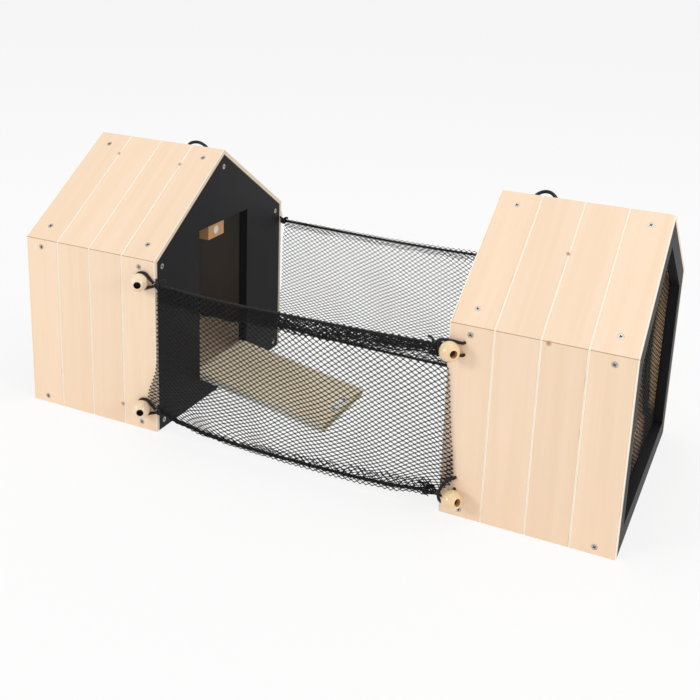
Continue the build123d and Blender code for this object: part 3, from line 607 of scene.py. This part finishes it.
runNet = {
    "cellWidth": 6.3,
    "cellHeight": 4.2,
    "twine": {"front": 0.32, "back": 0.25},
    "joint": 1.55,  # how much thicker the twine is where strands join
    "sides": 5,
    "width": 268.0,
    "height": 131.0,
    "frontCut": (0.268, 0.185),  # cut sizes with the hems, in m
    "backCut": (0.268, 0.165),
    "frontTwineArea": 0.036,  # half the surface of the twine itself, in square metres
    "backTwineArea": 0.025,
    "keep": 0.514,  # share of the length that is left when the houses are pushed together
    "stillEnd": -133.4,
    # edges as (share of the height, x): drawn in at the corner knots, lapping the walls between them
    "leftEdge": [
        (0.0, -130.0), (0.07, -138.0), (0.13, -142.0), (0.20, -140.5), (0.28, -137.0), (0.36, -134.2),
        (0.45, -132.6), (0.85, -132.0), (1.0, -129.0),
    ],
    "rightEdge": [
        (0.0, 129.0), (0.05, 136.5), (0.12, 144.0), (0.20, 145.5), (0.34, 144.0), (0.50, 141.4),
        (0.70, 139.0), (0.85, 137.0), (0.93, 133.5), (1.0, 126.0),
    ],
    # drawcords as (x, z), from the left knot to the right one
    "frontTop": [
        (-128.0, 140.5), (-90.0, 138.0), (-45.0, 137.4), (0.0, 138.0), (60.0, 138.8), (119.8, 140.5),
    ],
    "backTop": [(-128.0, 140.5), (-60.0, 139.0), (0.0, 138.0), (60.0, 138.6), (119.8, 140.5)],
    "frontFoot": [
        (-128.0, 21.0), (-107.0, 15.2), (-83.0, 11.4), (-46.0, 9.2), (2.0, 8.8), (50.0, 9.4), (88.0, 11.0),
        (119.8, 15.0),
    ],
    "backFoot": [
        (-128.0, 21.0), (-107.0, 20.0), (-83.0, 18.8), (-46.0, 18.0), (2.0, 17.6), (50.0, 17.6), (88.0, 17.0),
        (119.8, 15.0),
    ],
    # how the slack hangs: sideways sway, sag and ripples, as a size in mm, waves along, waves up and start
    "sway": (1.3, 3.1, 0.0, 1.0),
    "sag": (5.0, 2.6, 1.1, 0.6),
    "ripple": (2.8, 5.2, 0.45, 0.0),
    "slackFall": 1.2,  # how soon the slack is gone towards the top
    "belly": 1.6,
    "stretch": 0.18,  # cells stand taller towards the top
    "lapFrom": 126.0,
    "lapSlope": 0.14,
    "lapMost": 1.8,
}

# strips of net folded over the drawcords, with their depth from the cord as (x, mm)
hems = {
    "start": -131.0,
    "end": 128.0,
    "rim": 0.62,
    "rimZigzag": 0.05,  # share of the depth
    "frontHem": [
        (-130.0, -16.0), (-85.0, -16.0), (-30.0, -14.0), (15.0, -14.5), (60.0, -12.0), (124.0, -8.5),
    ],
    "backHem": [(-130.0, -8.0), (0.0, -7.0), (124.0, -8.0)],
    "backFrill": [(-130.0, 1.6), (0.0, 2.6), (124.0, 3.8)],
    "frontFold": [(-130.0, 4.0), (-60.0, 5.5), (0.0, 8.5), (60.0, 11.0), (124.0, 12.0)],
    "backFold": [(-130.0, 4.0), (0.0, 5.0), (124.0, 6.0)],
    "frontFringe": [(-130.0, -2.4), (-60.0, -3.0), (0.0, -4.2), (60.0, -5.2), (124.0, -4.0)],
    "backFringe": [(-130.0, -2.0), (0.0, -2.5), (124.0, -3.0)],
    # which cord and depth, share of that depth, lift over the cord, layer out of the net, flat depth, cell,
    # rows, how far past the start it begins, and whether its cut edge shows
    "frontStrips": [
        ("Top", "Hem", 1.0, 1.2, 1.5, 14.0, 6.3, 7, 0.0, True),
        ("Top", "Hem", 1.0, 1.2, -1.4, 14.0, 5.9, 7, 0.0, False),
        ("Top", "Hem", 0.62, 0.6, 2.3, 10.0, 5.0, 8, 91.0, True),
    ],
    "backStrips": [
        ("Top", "Hem", 1.0, 0.8, 1.2, 9.0, 6.3, 4, 0.0, False),
        ("Top", "Frill", 1.0, 0.6, -0.8, 4.0, 5.4, 2, 0.0, False),
    ],
    "footStrips": [
        ("Foot", "Fold", 1.0, -1.0, 1.5, 9.0, 6.3, 4, 0.0, False),
        ("Foot", "Fringe", 1.0, 0.6, 0.9, 5.0, 5.4, 3, 0.0, False),
    ],
    "wave": (0.07, 29.9, 1.0),  # share of the depth, its length in mm and its start
    "flutter": (0.45, 27.3, 4.0),  # mm out of the net, its length in mm and its lag across the strip
    # strands wound about the foot cord
    "winds": 4,
    "windRadius": 1.15,
    "windPitch": 17.0,
    "windStep": 1.6,
    "windTwine": 0.38,
    # low on the right edge the net lies double
    "sideWidth": 11.0,
    "sideLow": 7.0,
    "sideHigh": 62.0,
    "sideInset": 0.6,
    "sideLayer": 0.9,
}
runFacing = Vector((0, 1, 0))


def tableAt(table, x):
    # eased reading of a short table
    if x <= table[0][0]:
        return table[0][1]
    for (a, va), (b, vb) in zip(table, table[1:]):
        if x <= b:
            t = (x - a) / (b - a)
            t = 0.5 * t + 0.5 * t * t * (3 - 2 * t)
            return va + (vb - va) * t
    return table[-1][1]


def strandLines(width, low, high, cellWidth, cellHeight):
    # both sets of slanting strands, as (s, t, at a joint) at each joint and half way to the next
    halfWidth, halfHeight = cellWidth / 2, cellHeight / 2
    columns, rows = int(width / halfWidth), int((high - low) / halfHeight)
    lines = []
    for slope in (1, -1):
        edge = 0 if slope == 1 else rows
        starts = [(0, j) for j in range(0, rows + 1, 2)]
        starts += [(i, edge) for i in range(1, columns + 1) if (i + edge) % 2 == 0]
        for i, j in starts:
            line = [(i, j, True)]
            while i < columns and 0 <= j + slope <= rows:
                line.append((i + 0.5, j + slope * 0.5, False))
                i, j = i + 1, j + slope
                line.append((i, j, True))
            if len(line) > 2:
                lines.append([(a * halfWidth, low + b * halfHeight, joint) for a, b, joint in line])
    return lines


def clipLines(lines, inside):
    # what is left of the strands where their points lie inside
    kept = []
    for line in lines:
        run = []
        for point in [*line, None]:
            if point and inside(point[0], point[1]):
                run.append(point)
                continue
            if len(run) > 2:
                kept.append(run)
            run = []
    return kept


def addNet(shape, lines, place, facing, twine, net):
    thin, thick = twine * mm, twine * net["joint"] * mm
    for line in lines:
        radii = [thick if joint else thin for s, t, joint in line]
        addTube(shape, [place(s, t) for s, t, joint in line], radii, net["sides"], side=facing)


def runNetPlace(way, top, foot, layer=0.0):
    # where a point of the flat net hangs; way -1 is the front, 1 the back
    def place(s, t):
        share, rise = s / runNet["width"], t / runNet["height"]
        middle = math.sin(math.pi * share)
        slack = middle * (1 - rise) ** runNet["slackFall"]
        sway, drop, out = [
            size * math.sin(math.tau * (along * share + up * rise) + start)
            for size, along, up, start in (runNet["sway"], runNet["sag"], runNet["ripple"])
        ]
        left, right = tableAt(runNet["leftEdge"], rise), tableAt(runNet["rightEdge"], rise)
        x = left + (right - left) * share + sway * (1 - rise) * middle
        low, high = tableAt(foot, x), tableAt(top, x)
        z = low + (high - low) * rise * (1 - runNet["stretch"] * (1 - rise)) - drop * slack * rise
        out = out * slack - runNet["belly"] * middle * math.sin(math.pi * rise)
        out += min(runNet["lapMost"], max(0.0, runNet["lapSlope"] * (abs(x) - runNet["lapFrom"])))
        return Vector((x, way * (hutch["netPlane"] + out + layer), z)) * mm

    return place


def addStrip(shape, way, cord, depth, twine, strip):
    # a strip along a cord: s runs along it, t from 0 at the cord to 1 at the far edge
    share, lift, layer, flatDepth, cell, rows, past, rimmed = strip
    wave, wavePitch, waveStart = hems["wave"]
    flutter, flutterPitch, lag = hems["flutter"]
    start = hems["start"] + past

    def place(s, t):
        x = start + s
        reach = share * tableAt(depth, x) * (1 + wave * math.sin(math.tau * x / wavePitch + waveStart))
        out = layer + flutter * t * math.sin(math.tau * x / flutterPitch + lag * t)
        return Vector((x, way * (hutch["netPlane"] + out), tableAt(cord, x) + lift + t * reach)) * mm

    length = hems["end"] - start
    lines = [
        [(s, t / flatDepth, joint) for s, t, joint in line]
        for line in strandLines(length, 0.0, flatDepth, cell, 2 * flatDepth / rows)
    ]
    addNet(shape, lines, place, runFacing, twine, runNet)
    if rimmed:
        steps = int(2 * length / cell)
        rim = [place(length * k / steps, 1.0 + hems["rimZigzag"] * (-1) ** k) for k in range(steps + 1)]
        addTube(shape, rim, hems["rim"] * mm, runNet["sides"], side=runFacing)


def sideFold(s, t):
    # the doubled net narrows upwards
    return s <= hems["sideWidth"] * (hems["sideHigh"] - t) / (hems["sideHigh"] - hems["sideLow"])


for side, way in (("front", -1), ("back", 1)):
    shape = ([], [], [])
    cordOf = {level: runNet[side + level] for level in ("Top", "Foot")}
    cell, row, twine = runNet["cellWidth"], runNet["cellHeight"], runNet["twine"][side]
    lines = strandLines(runNet["width"], 0.0, runNet["height"], cell, row)
    addNet(shape, lines, runNetPlace(way, cordOf["Top"], cordOf["Foot"]), runFacing, twine, runNet)
    folds = clipLines(strandLines(hems["sideWidth"], hems["sideLow"], hems["sideHigh"], cell, row), sideFold)
    doubled = runNetPlace(way, cordOf["Top"], cordOf["Foot"], hems["sideLayer"])
    edge = runNet["width"] - hems["sideInset"]
    lines = [[(edge - s, t, joint) for s, t, joint in line] for line in folds]
    addNet(shape, lines, doubled, runFacing, twine, runNet)
    for level, depth, *strip in hems[side + "Strips"] + hems["footStrips"]:
        addStrip(shape, way, cordOf[level], hems[side + depth], twine, strip)
    for n in range(hems["winds"]):
        wound = []
        for k in range(int((hems["end"] - hems["start"]) / hems["windStep"])):
            x = hems["start"] + hems["windStep"] * k
            turn = math.tau * (n / hems["winds"] + x / hems["windPitch"])
            out = hutch["netPlane"] + hems["windRadius"] * math.cos(turn)
            z = tableAt(cordOf["Foot"], x) + hems["windRadius"] * math.sin(turn)
            wound.append(Vector((x, way * out, z)) * mm)
        addTube(shape, wound, hems["windTwine"] * mm, runNet["sides"])
    net = meshPiece(f"{side}RunNet", shape, netTwine)
    fitPiece(net, "left_house", f"{side}_net")
    pieces = [net]
    for level, cord in cordOf.items():
        route = [(x, way * hutch["netPlane"], z) for x, z in cord]
        pieces.append(
            cordPiece(f"{side}{level}Drawcord", route, cords["radius"], "left_house", f"{side}_net_cords")
        )
    for piece in pieces:
        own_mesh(piece)
    print(side, "net hung:", len(shape[1]), "faces")


# knots at the nets' corners, and the twist of twine that fills each right-hand loop

knots = {
    "radius": 1.05,
    "sides": 8,
    "ring": 1.75,
    "lobe": 0.75,
    "height": 1.7,
    "points": 48,
    "left": [(-130.9, 140.5), (-130.9, 21.0)],
    "right": [(122.7, 140.5), (122.7, 15.0)],
    # a tail as (along, in, up) from the knot's middle
    "tail": [(0.0, 0.0, 0.0), (1.5, 1.5, 2.6), (4.0, 2.4, 4.6), (6.4, 2.8, 4.4)],
}
gathers = {
    "from": 122.0,
    "to": 135.0,
    "rise": 1.2,
    "out": 0.3,
    "strands": 8,
    "points": 15,
    "twine": 0.46,
    "sides": 6,
    "turns": 0.6,
    "tip": 1.4,  # girth at the tip, and what the fan gains towards the net
    "fan": 4.6,
    "flat": 0.35,
    "close": 1.5,  # how soon the fan closes
    "lean": (-4.0, 3.0),  # the upper corners fan out downwards, the lower ones upwards
}
for house in houses:
    shape = ([], [], [])
    for knotX, knotZ in knots[house]:
        for way in (-1, 1):
            middle = Vector((knotX, way * hutch["netPlane"], knotZ))
            line = []
            for k in range(knots["points"]):
                turn = math.tau * k / knots["points"]
                # a trefoil: three lobes in two turns
                ring = knots["ring"] + knots["lobe"] * math.cos(3 * turn)
                spot = Vector((0, ring * math.cos(2 * turn), ring * math.sin(2 * turn)))
                spot.x = knots["height"] * math.sin(3 * turn)
                line.append((middle + spot) * mm)
            addTube(shape, line, knots["radius"] * mm, knots["sides"], closed=True)
            for lean in (-1, 1):
                tail = [middle + Vector((lean * x, -way * y, z)) for x, y, z in knots["tail"]]
                addTube(shape, splineLine(tail, steps=5), knots["radius"] * mm, knots["sides"])
    fitPiece(meshPiece(f"{house}NetKnots", shape, elastic), f"{house}_house", f"{house}_net_knots")

shape = ([], [], [])
for knotZ, lean in zip([z for x, z in knots["right"]], gathers["lean"]):
    for way in (-1, 1):
        for n in range(gathers["strands"]):
            line = []
            for k in range(gathers["points"]):
                t = k / (gathers["points"] - 1)
                turn = math.tau * (n / gathers["strands"] + gathers["turns"] * t)
                spread = (1 - t) ** gathers["close"]
                girth = gathers["tip"] + gathers["fan"] * spread
                thick = gathers["tip"] + gathers["flat"] * gathers["fan"] * spread
                line.append(Vector((
                    gathers["from"] + (gathers["to"] - gathers["from"]) * t,
                    way * (hutch["netPlane"] + gathers["out"] + thick * math.cos(turn)),
                    knotZ + gathers["rise"] * t + lean * spread + girth * math.sin(turn),
                )) * mm)
            addTube(shape, line, gathers["twine"] * mm, gathers["sides"])
fitPiece(meshPiece("rightNetGathers", shape, netTwine), "right_house", "right_net_knots")
print("net corners knotted")


# wooden beads: screwed to the left walls, and on the toggle cords of the right house

beads = {
    "radius": 8.0,
    "mouth": 3.0,
    "mouthDepth": 6.0,
    "mouthFillet": 0.3,
    "lip": 0.5,
    # lip as (out from the mouth, up from the crown)
    "lipRound": [(0.0, -0.35), (0.12, -0.02), (0.3, 0.05)],
    "boreRings": 5,
    "steps": 30,
    "sides": 48,
    "wallBore": 1.4,
    "wallFlat": 0.4,
    "wallOut": 120.6,
    "wallLean": (0.47, 0.88, 0.0),
    "wallScrewUp": 3.9,
    "toggleBore": 1.15,
    "toggleRim": 0.5,  # flat ring round the far end of the bore
    # bead middle and the point of the net that its cord pulls on
    "upper": ((138.4, -123.48, 141.7), (127.9, -113.0, 140.5)),
    "lower": ((148.0, -124.11, 19.5), (127.9, -113.0, 15.0)),
    "cordRadius": 1.0,
    "cordTail": 2.0,
    "cordSteps": 8,
    "knotRadii": [0.6, 1.7, 2.3, 2.5, 2.2, 1.5, 0.5],
    "knotStep": 0.45,
    "knotOff": 0.1,  # from the end of the cord
}


def beadProfile(bore, foot):
    # closed turn as (radius, height): bore, mouth, rounded lip, ball, and back to the bore
    radius, mouth, floor = beads["radius"], beads["mouth"], beads["radius"] - beads["mouthDepth"]
    top = math.acos((mouth + beads["lip"]) / radius)
    angles = [top + (foot - top) * k / beads["steps"] for k in range(beads["steps"] + 1)]
    ball = [(radius * math.cos(a), radius * math.sin(a)) for a in angles]
    fillet = beads["mouthFillet"]
    inside = [(bore, ball[-1][1]), (bore, floor), (mouth - fillet / 2, floor), (mouth, floor + fillet)]
    lip = [(mouth + out, ball[0][1] + up) for out, up in beads["lipRound"]]
    return inside + lip + ball + [(bore, ball[-1][1])]


def beadPiece(name, profile, spots, material, boreMaterial):
    # each spot is a middle and the direction that the mouth looks in
    verts, faces, finish = [], [], []
    sides = beads["sides"]
    for middle, axis in spots:
        turn = axis.to_track_quat("Z", "Y").to_matrix()
        first = len(verts)
        for radius, height in profile:
            for k in range(sides):
                angle = math.tau * k / sides
                spot = Vector((radius * math.cos(angle), radius * math.sin(angle), height))
                verts.append((middle + turn @ spot) * mm)
        for ring in range(len(profile) - 1):
            faces += ringFaces(first + ring * sides, first + (ring + 1) * sides, sides)
            finish += [int(ring < beads["boreRings"])] * sides
    piece = meshPiece(name, (verts, faces, []), material)
    piece.data.materials.append(boreMaterial)
    piece.data.polygons.foreach_set("material_index", finish)
    return piece


profile = beadProfile(beads["wallBore"], -math.asin(1 - beads["wallFlat"] / beads["radius"]))
wallSpots = []
for z in cords["wallBeadZ"].values():
    for way in (-1, 1):
        axis = (Vector(beads["wallLean"]) * Vector((1, way, 1))).normalized()
        wallSpots.append((Vector((cords["wallBeadX"], way * beads["wallOut"], z)), axis))
wallPiece = beadPiece("wallBeads", profile, wallSpots, wallBeadWood, wallBore)
fitPiece(wallPiece, "left_house", "left_beads")

spots = []
shape = ([], [], [])
seat = beads["radius"] - beads["mouthDepth"]
for level in ("upper", "lower"):
    for flip in (Vector((1, 1, 1)), Vector((1, -1, 1))):
        middle, pull = [Vector(point) * flip for point in beads[level]]
        axis = (middle - pull).normalized()
        spots.append((middle, axis))
        start, end = pull - axis * beads["cordTail"], middle + axis * seat
        line = [start.lerp(end, k / beads["cordSteps"]) * mm for k in range(beads["cordSteps"] + 1)]
        addTube(shape, line, beads["cordRadius"] * mm, cords["sides"])
        knotSpots = [beads["knotOff"] + beads["knotStep"] * k for k in range(len(beads["knotRadii"]))]
        line = [(end + axis * spot) * mm for spot in knotSpots]
        addTube(shape, line, [r * mm for r in beads["knotRadii"]], cords["sides"])
rim = beads["toggleBore"] + beads["toggleRim"]
profile = beadProfile(beads["toggleBore"], -math.acos(rim / beads["radius"]))
togglePiece = beadPiece("toggleBeads", profile, spots, toggleBeadWood, toggleBore)
fitPiece(togglePiece, "right_house", "toggle_beads")
fitPiece(meshPiece("toggleCords", shape, elastic), "right_house", "toggle_cords")
print("beads turned")


# countersunk screws with a cross recess

screws = {
    "board": {"head": 2.7, "shank": 1.25, "length": 10.0},
    "plate": {"head": 1.75, "shank": 0.95, "length": 4.5},
    "edge": 0.3,
    "sink": 0.32,
    "sides": 28,
    # cross recess, as shares of the head's radius, and how far it tapers
    "arm": 0.56,
    "slot": 0.15,
    "depth": 0.48,
    "armTaper": 0.5,
    "slotTaper": 0.7,
    "turns": (0.4, 2.4),  # where the first cross points, and the step to the next one
    # shade: its end as a share of the recess, its start in mm, and how flat a face has to be to stay bright
    "shade": (1.1, 0.05, 0.99),
    # places in mm: from a wall's end, up the walls, up the roofs and from the ridge, on the gables as (y, z)
    "inset": 16.5,
    "wallHeights": (6.0, 153.5),
    "roofUp": 16.5,
    "ridgeDown": 13.4,
    "gable": [(-101.0, 7.0), (101.0, 7.0), (-101.0, 153.5), (101.0, 153.5), (0.0, 221.66)],
    "rampHinge": (-138.5, 0.0, 26.6),
    "plateAlong": 132.0,
    "plateUp": 4.45,
    "plateApart": 11.5,
}


def screwForm(size):
    # a turned screw with the cross cut out of its head: points, faces, and which faces are shaded
    head, shank, sides = size["head"], size["shank"], screws["sides"]
    edge = screws["edge"]
    profile = [(shank, -size["length"]), (shank, shank - head), (head, -edge), (head - edge, 0.0)]
    turns = [math.tau * k / sides for k in range(sides)]
    verts = [(r * math.cos(a), r * math.sin(a), h) for r, h in profile for a in turns]
    faces = [tuple(reversed(range(sides))), tuple(range(3 * sides, 4 * sides))]
    for ring in range(3):
        faces += ringFaces(ring * sides, (ring + 1) * sides, sides)
    blank = meshPiece("screwBlank", (verts, faces, []), screwSteel)

    arm, slot, deep = [head * screws[name] for name in ("arm", "slot", "depth")]
    corner = [(arm, -slot), (arm, slot), (slot, slot)]
    outline = []
    for quarterTurn in range(4):
        outline += corner
        corner = [(-y, x) for x, y in corner]
    count = len(outline)
    lowArm, lowSlot = arm * screws["armTaper"], slot * screws["slotTaper"]
    verts = [(x, y, edge) for x, y in outline]
    for x, y in outline:
        low = [math.copysign(lowArm if abs(c) > slot else lowSlot, c) for c in (x, y)]
        verts.append((*low, -deep))
    faces = [tuple(range(count)), tuple(reversed(range(count, 2 * count)))]
    faces += [(k, k + count, (k + 1) % count + count, (k + 1) % count) for k in range(count)]
    cutter = meshPiece("crossCutter", (verts, faces, []), screwSteel)

    cut = blank.modifiers.new("cross", "BOOLEAN")
    cut.operation = "DIFFERENCE"
    cut.object = cutter
    cut.solver = "EXACT"
    bpy.context.view_layer.update()
    made = bpy.data.meshes.new_from_object(blank.evaluated_get(bpy.context.evaluated_depsgraph_get()))
    verts = [v.co.copy() for v in made.vertices]
    faces = [tuple(p.vertices) for p in made.polygons]
    # the cross and the bevelled edge lie in shade
    shadeEnd, shadeFrom, flatness = screws["shade"]
    shaded = [
        -shadeEnd * deep < p.center.z < -shadeFrom and abs(p.normal.z) < flatness for p in made.polygons
    ]
    meshes = [blank.data, cutter.data, made]
    for thing in (blank, cutter):
        bpy.data.objects.remove(thing)
    for mesh in meshes:
        bpy.data.meshes.remove(mesh)
    return verts, faces, shaded


def screwPiece(name, form, spots, body, node, material):
    # each spot is the middle of the hole's mouth and the direction that the head looks in
    verts, faces, finish = [], [], []
    firstTurn, nextTurn = screws["turns"]
    for count, (place, outward) in enumerate(spots):
        first = len(verts)
        turn = outward.to_track_quat("Z", "Y").to_matrix()
        turn = turn @ Matrix.Rotation(firstTurn + nextTurn * count, 3, "Z")
        seat = place - outward * screws["sink"]
        verts += [(seat + turn @ v) * mm for v in form[0]]
        faces += [tuple(first + k for k in face) for face in form[1]]
        finish += [int(inShade) for inShade in form[2]]
    piece = meshPiece(name, (verts, faces, []), material, smooth=False)
    # painted shade: the faces in the cross and on the bevelled rim get the darker steel
    piece.data.materials.append(recessShadeSteel)
    piece.data.polygons.foreach_set("material_index", finish)
    fitPiece(piece, body, node)


boardScrew, plateScrew = screwForm(screws["board"]), screwForm(screws["plate"])
for house, way in houses.items():
    body = f"{house}_house"
    inset = screws["inset"]
    columns = [way * (hutch["halfRun"] + u) for u in (inset, hutch["houseLength"] - inset)]
    spots = [
        (Vector((x, s * hutch["halfDepth"], z)), Vector((0, s, 0)))
        for x in columns for z in screws["wallHeights"] for s in (-1, 1)
    ]
    screwPiece(f"{house}WallScrews", boardScrew, spots, body, f"{house}_wall_screws", screwSteel)
    spots = []
    for x in columns:
        for up in (screws["roofUp"], roofSlope - screws["ridgeDown"]):
            reach, height = hutch["halfDepth"] - up * roofCos, hutch["eave"] + up * roofSin
            spots += [(Vector((x, s * reach, height)), Vector((0, s * roofSin, roofCos))) for s in (-1, 1)]
    screwPiece(f"{house}RoofScrews", boardScrew, spots, body, f"{house}_roof_screws", screwSteel)
    ends = [(hutch["halfRun"], -way), (hutch["halfRun"] + hutch["houseLength"], way)]
    spots = [
        (Vector((way * x, y, z)), Vector((looks, 0, 0))) for x, looks in ends for y, z in screws["gable"]
    ]
    screwPiece(f"{house}GableScrews", boardScrew, spots, body, f"{house}_gable_screws", screwSteel)

rampAlong = Vector((math.cos(rampAngle), 0, -math.sin(rampAngle)))
rampUp = Vector((math.sin(rampAngle), 0, math.cos(rampAngle)))
plateMiddle = Vector(screws["rampHinge"]) + rampAlong * screws["plateAlong"] + rampUp * screws["plateUp"]
spots = [(plateMiddle + Vector((0, s * screws["plateApart"], 0)), rampUp) for s in (-1, 1)]
screwPiece("catchPlateScrews", plateScrew, spots, "ramp", "catch_plate_screws", blackedSteel)
spots = [(middle + axis * beads["wallScrewUp"], axis) for middle, axis in wallSpots]
screwPiece("wallBeadScrews", boardScrew, spots, "left_house", "left_bead_screws", blackedSteel)
print("screws set")


# window nets, slack behind the outer frames

windowNet = {
    "cellWidth": 6.3,
    "cellHeight": 4.2,
    "twine": 0.30,
    "joint": 1.5,
    "sides": 5,
    "cut": (0.194, 0.206),
    "twineArea": 0.0215,  # half the surface of the twine itself, in square metres
    "halfWidth": 96.6,
    "low": 12.4,
    "high": 219.0,
    "inset": 12.6,
    "planeX": 265.6,
    "belly": 4.0,
    "heldSides": (92.0, 4),  # flat against the frame from here out, and how sharply it bellies inside
    "heldFoot": (17.0, 30.0),  # flat up to here, and how soon it bellies
    # folds as (depth, mm of one wave across, mm of one wave up, start)
    "folds": [(2.0, 84.0, 314.0, 0.6), (1.6, -314.0, 203.0, 0.0)],
}


def insideGable(s, t):
    # pentagon of the house's end, moved in from its boards
    y, inset = abs(s - windowNet["halfWidth"]), windowNet["inset"]
    roofLine = hutch["ridge"] - y * math.tan(roofAngle) - (hutch["boardThick"] + inset) / roofCos
    return y <= hutch["halfDepth"] - hutch["boardThick"] - inset and inset <= t <= roofLine


def windowPlace(way):
    heldFoot, footSlope = windowNet["heldFoot"]
    heldSides, sharpness = windowNet["heldSides"]

    def place(s, t):
        y = s - windowNet["halfWidth"]
        loose = max(0.0, 1 - (abs(y) / heldSides) ** sharpness)
        loose *= max(0.0, min(1.0, (t - heldFoot) / footSlope))
        fold = sum(
            depth * math.sin(math.tau * (y / across + t / up) + start)
            for depth, across, up, start in windowNet["folds"]
        )
        return Vector((way * (windowNet["planeX"] - loose * (windowNet["belly"] + fold)), y, t)) * mm

    return place


for house, way in houses.items():
    shape = ([], [], [])
    lines = strandLines(
        2 * windowNet["halfWidth"], windowNet["low"], windowNet["high"], windowNet["cellWidth"],
        windowNet["cellHeight"],
    )
    lines = clipLines(lines, insideGable)
    addNet(shape, lines, windowPlace(way), Vector((1, 0, 0)), windowNet["twine"], windowNet)
    piece = meshPiece(f"{house}WindowNet", shape, netTwine)
    fitPiece(piece, f"{house}_house", f"{house}_window_net")
    print(house, "window net hung:", len(shape[1]), "faces")


# studio: white paper sweep and soft light

studio = {
    "floor": "#fafafa",
    "sky": "#ffffff",
    "floorSize": 30.0,
    "floorDrop": 0.0002,
    "skyLight": 0.60,
    "glow": 0.80,  # share of plain white in the floor as the camera sees it; the rest keeps the shadow
    "aim": (0.0, 0.0, 0.1),
    # lamps as place, width and power
    "keyLight": ((-1.5, -1.9, 1.1), 0.8, 16.0),
    "fillLight": ((2.1, -0.7, 1.0), 0.8, 12.5),
    "topLight": ((0.1, 0.1, 1.9), 1.8, 6.6),
}


def backgroundRays(add):
    # 1 for what the camera sees straight on, in a reflection or through a pane
    rays = add("LightPath").outputs
    seen = rays["Is Camera Ray"]
    for name in ("Is Glossy Ray", "Is Transmission Ray"):
        seen = add("Math", {0: seen, 1: rays[name]}, operation="MAXIMUM")
    return seen


sweep, add = newMaterial("whitePaperSweep")
matt = add("BsdfDiffuse", {"Color": linearColour(studio["floor"])})
white = add("Emission", {"Color": linearColour(studio["sky"])})
share = add("Math", {0: backgroundRays(add), 1: studio["glow"]}, operation="MULTIPLY")
both = add("MixShader", {0: share, 1: matt, 2: white})
add("OutputMaterial", {"Surface": both})
reach, drop = studio["floorSize"], -studio["floorDrop"]
corners = [(-reach, -reach, drop), (reach, -reach, drop), (reach, reach, drop), (-reach, reach, drop)]
meshPiece("studioFloor", (corners, [(0, 1, 2, 3)], []), sweep, smooth=False)

world = bpy.data.worlds.new("studioWorld")
bpy.context.scene.world = world
world.use_nodes = True
world.node_tree.nodes.clear()
add = partial(addNode, world.node_tree)
level = add("MapRange", {0: backgroundRays(add), 3: studio["skyLight"], 4: 1.0})
sky = add("Background", {"Strength": level, "Color": linearColour(studio["sky"])})
add("OutputWorld", {"Surface": sky})

for name in ("keyLight", "fillLight", "topLight"):
    place, width, power = studio[name]
    lamp = bpy.data.lights.new(name, "AREA")
    lamp.shape = "DISK"
    lamp.size = width
    lamp.energy = power
    holder = addObject(name, lamp)
    holder.location = place
    holder.rotation_mode = "QUATERNION"
    holder.rotation_quaternion = (Vector(studio["aim"]) - Vector(place)).to_track_quat("-Z", "Y")
bpy.context.scene.view_settings.view_transform = "Standard"
print("studio lit")
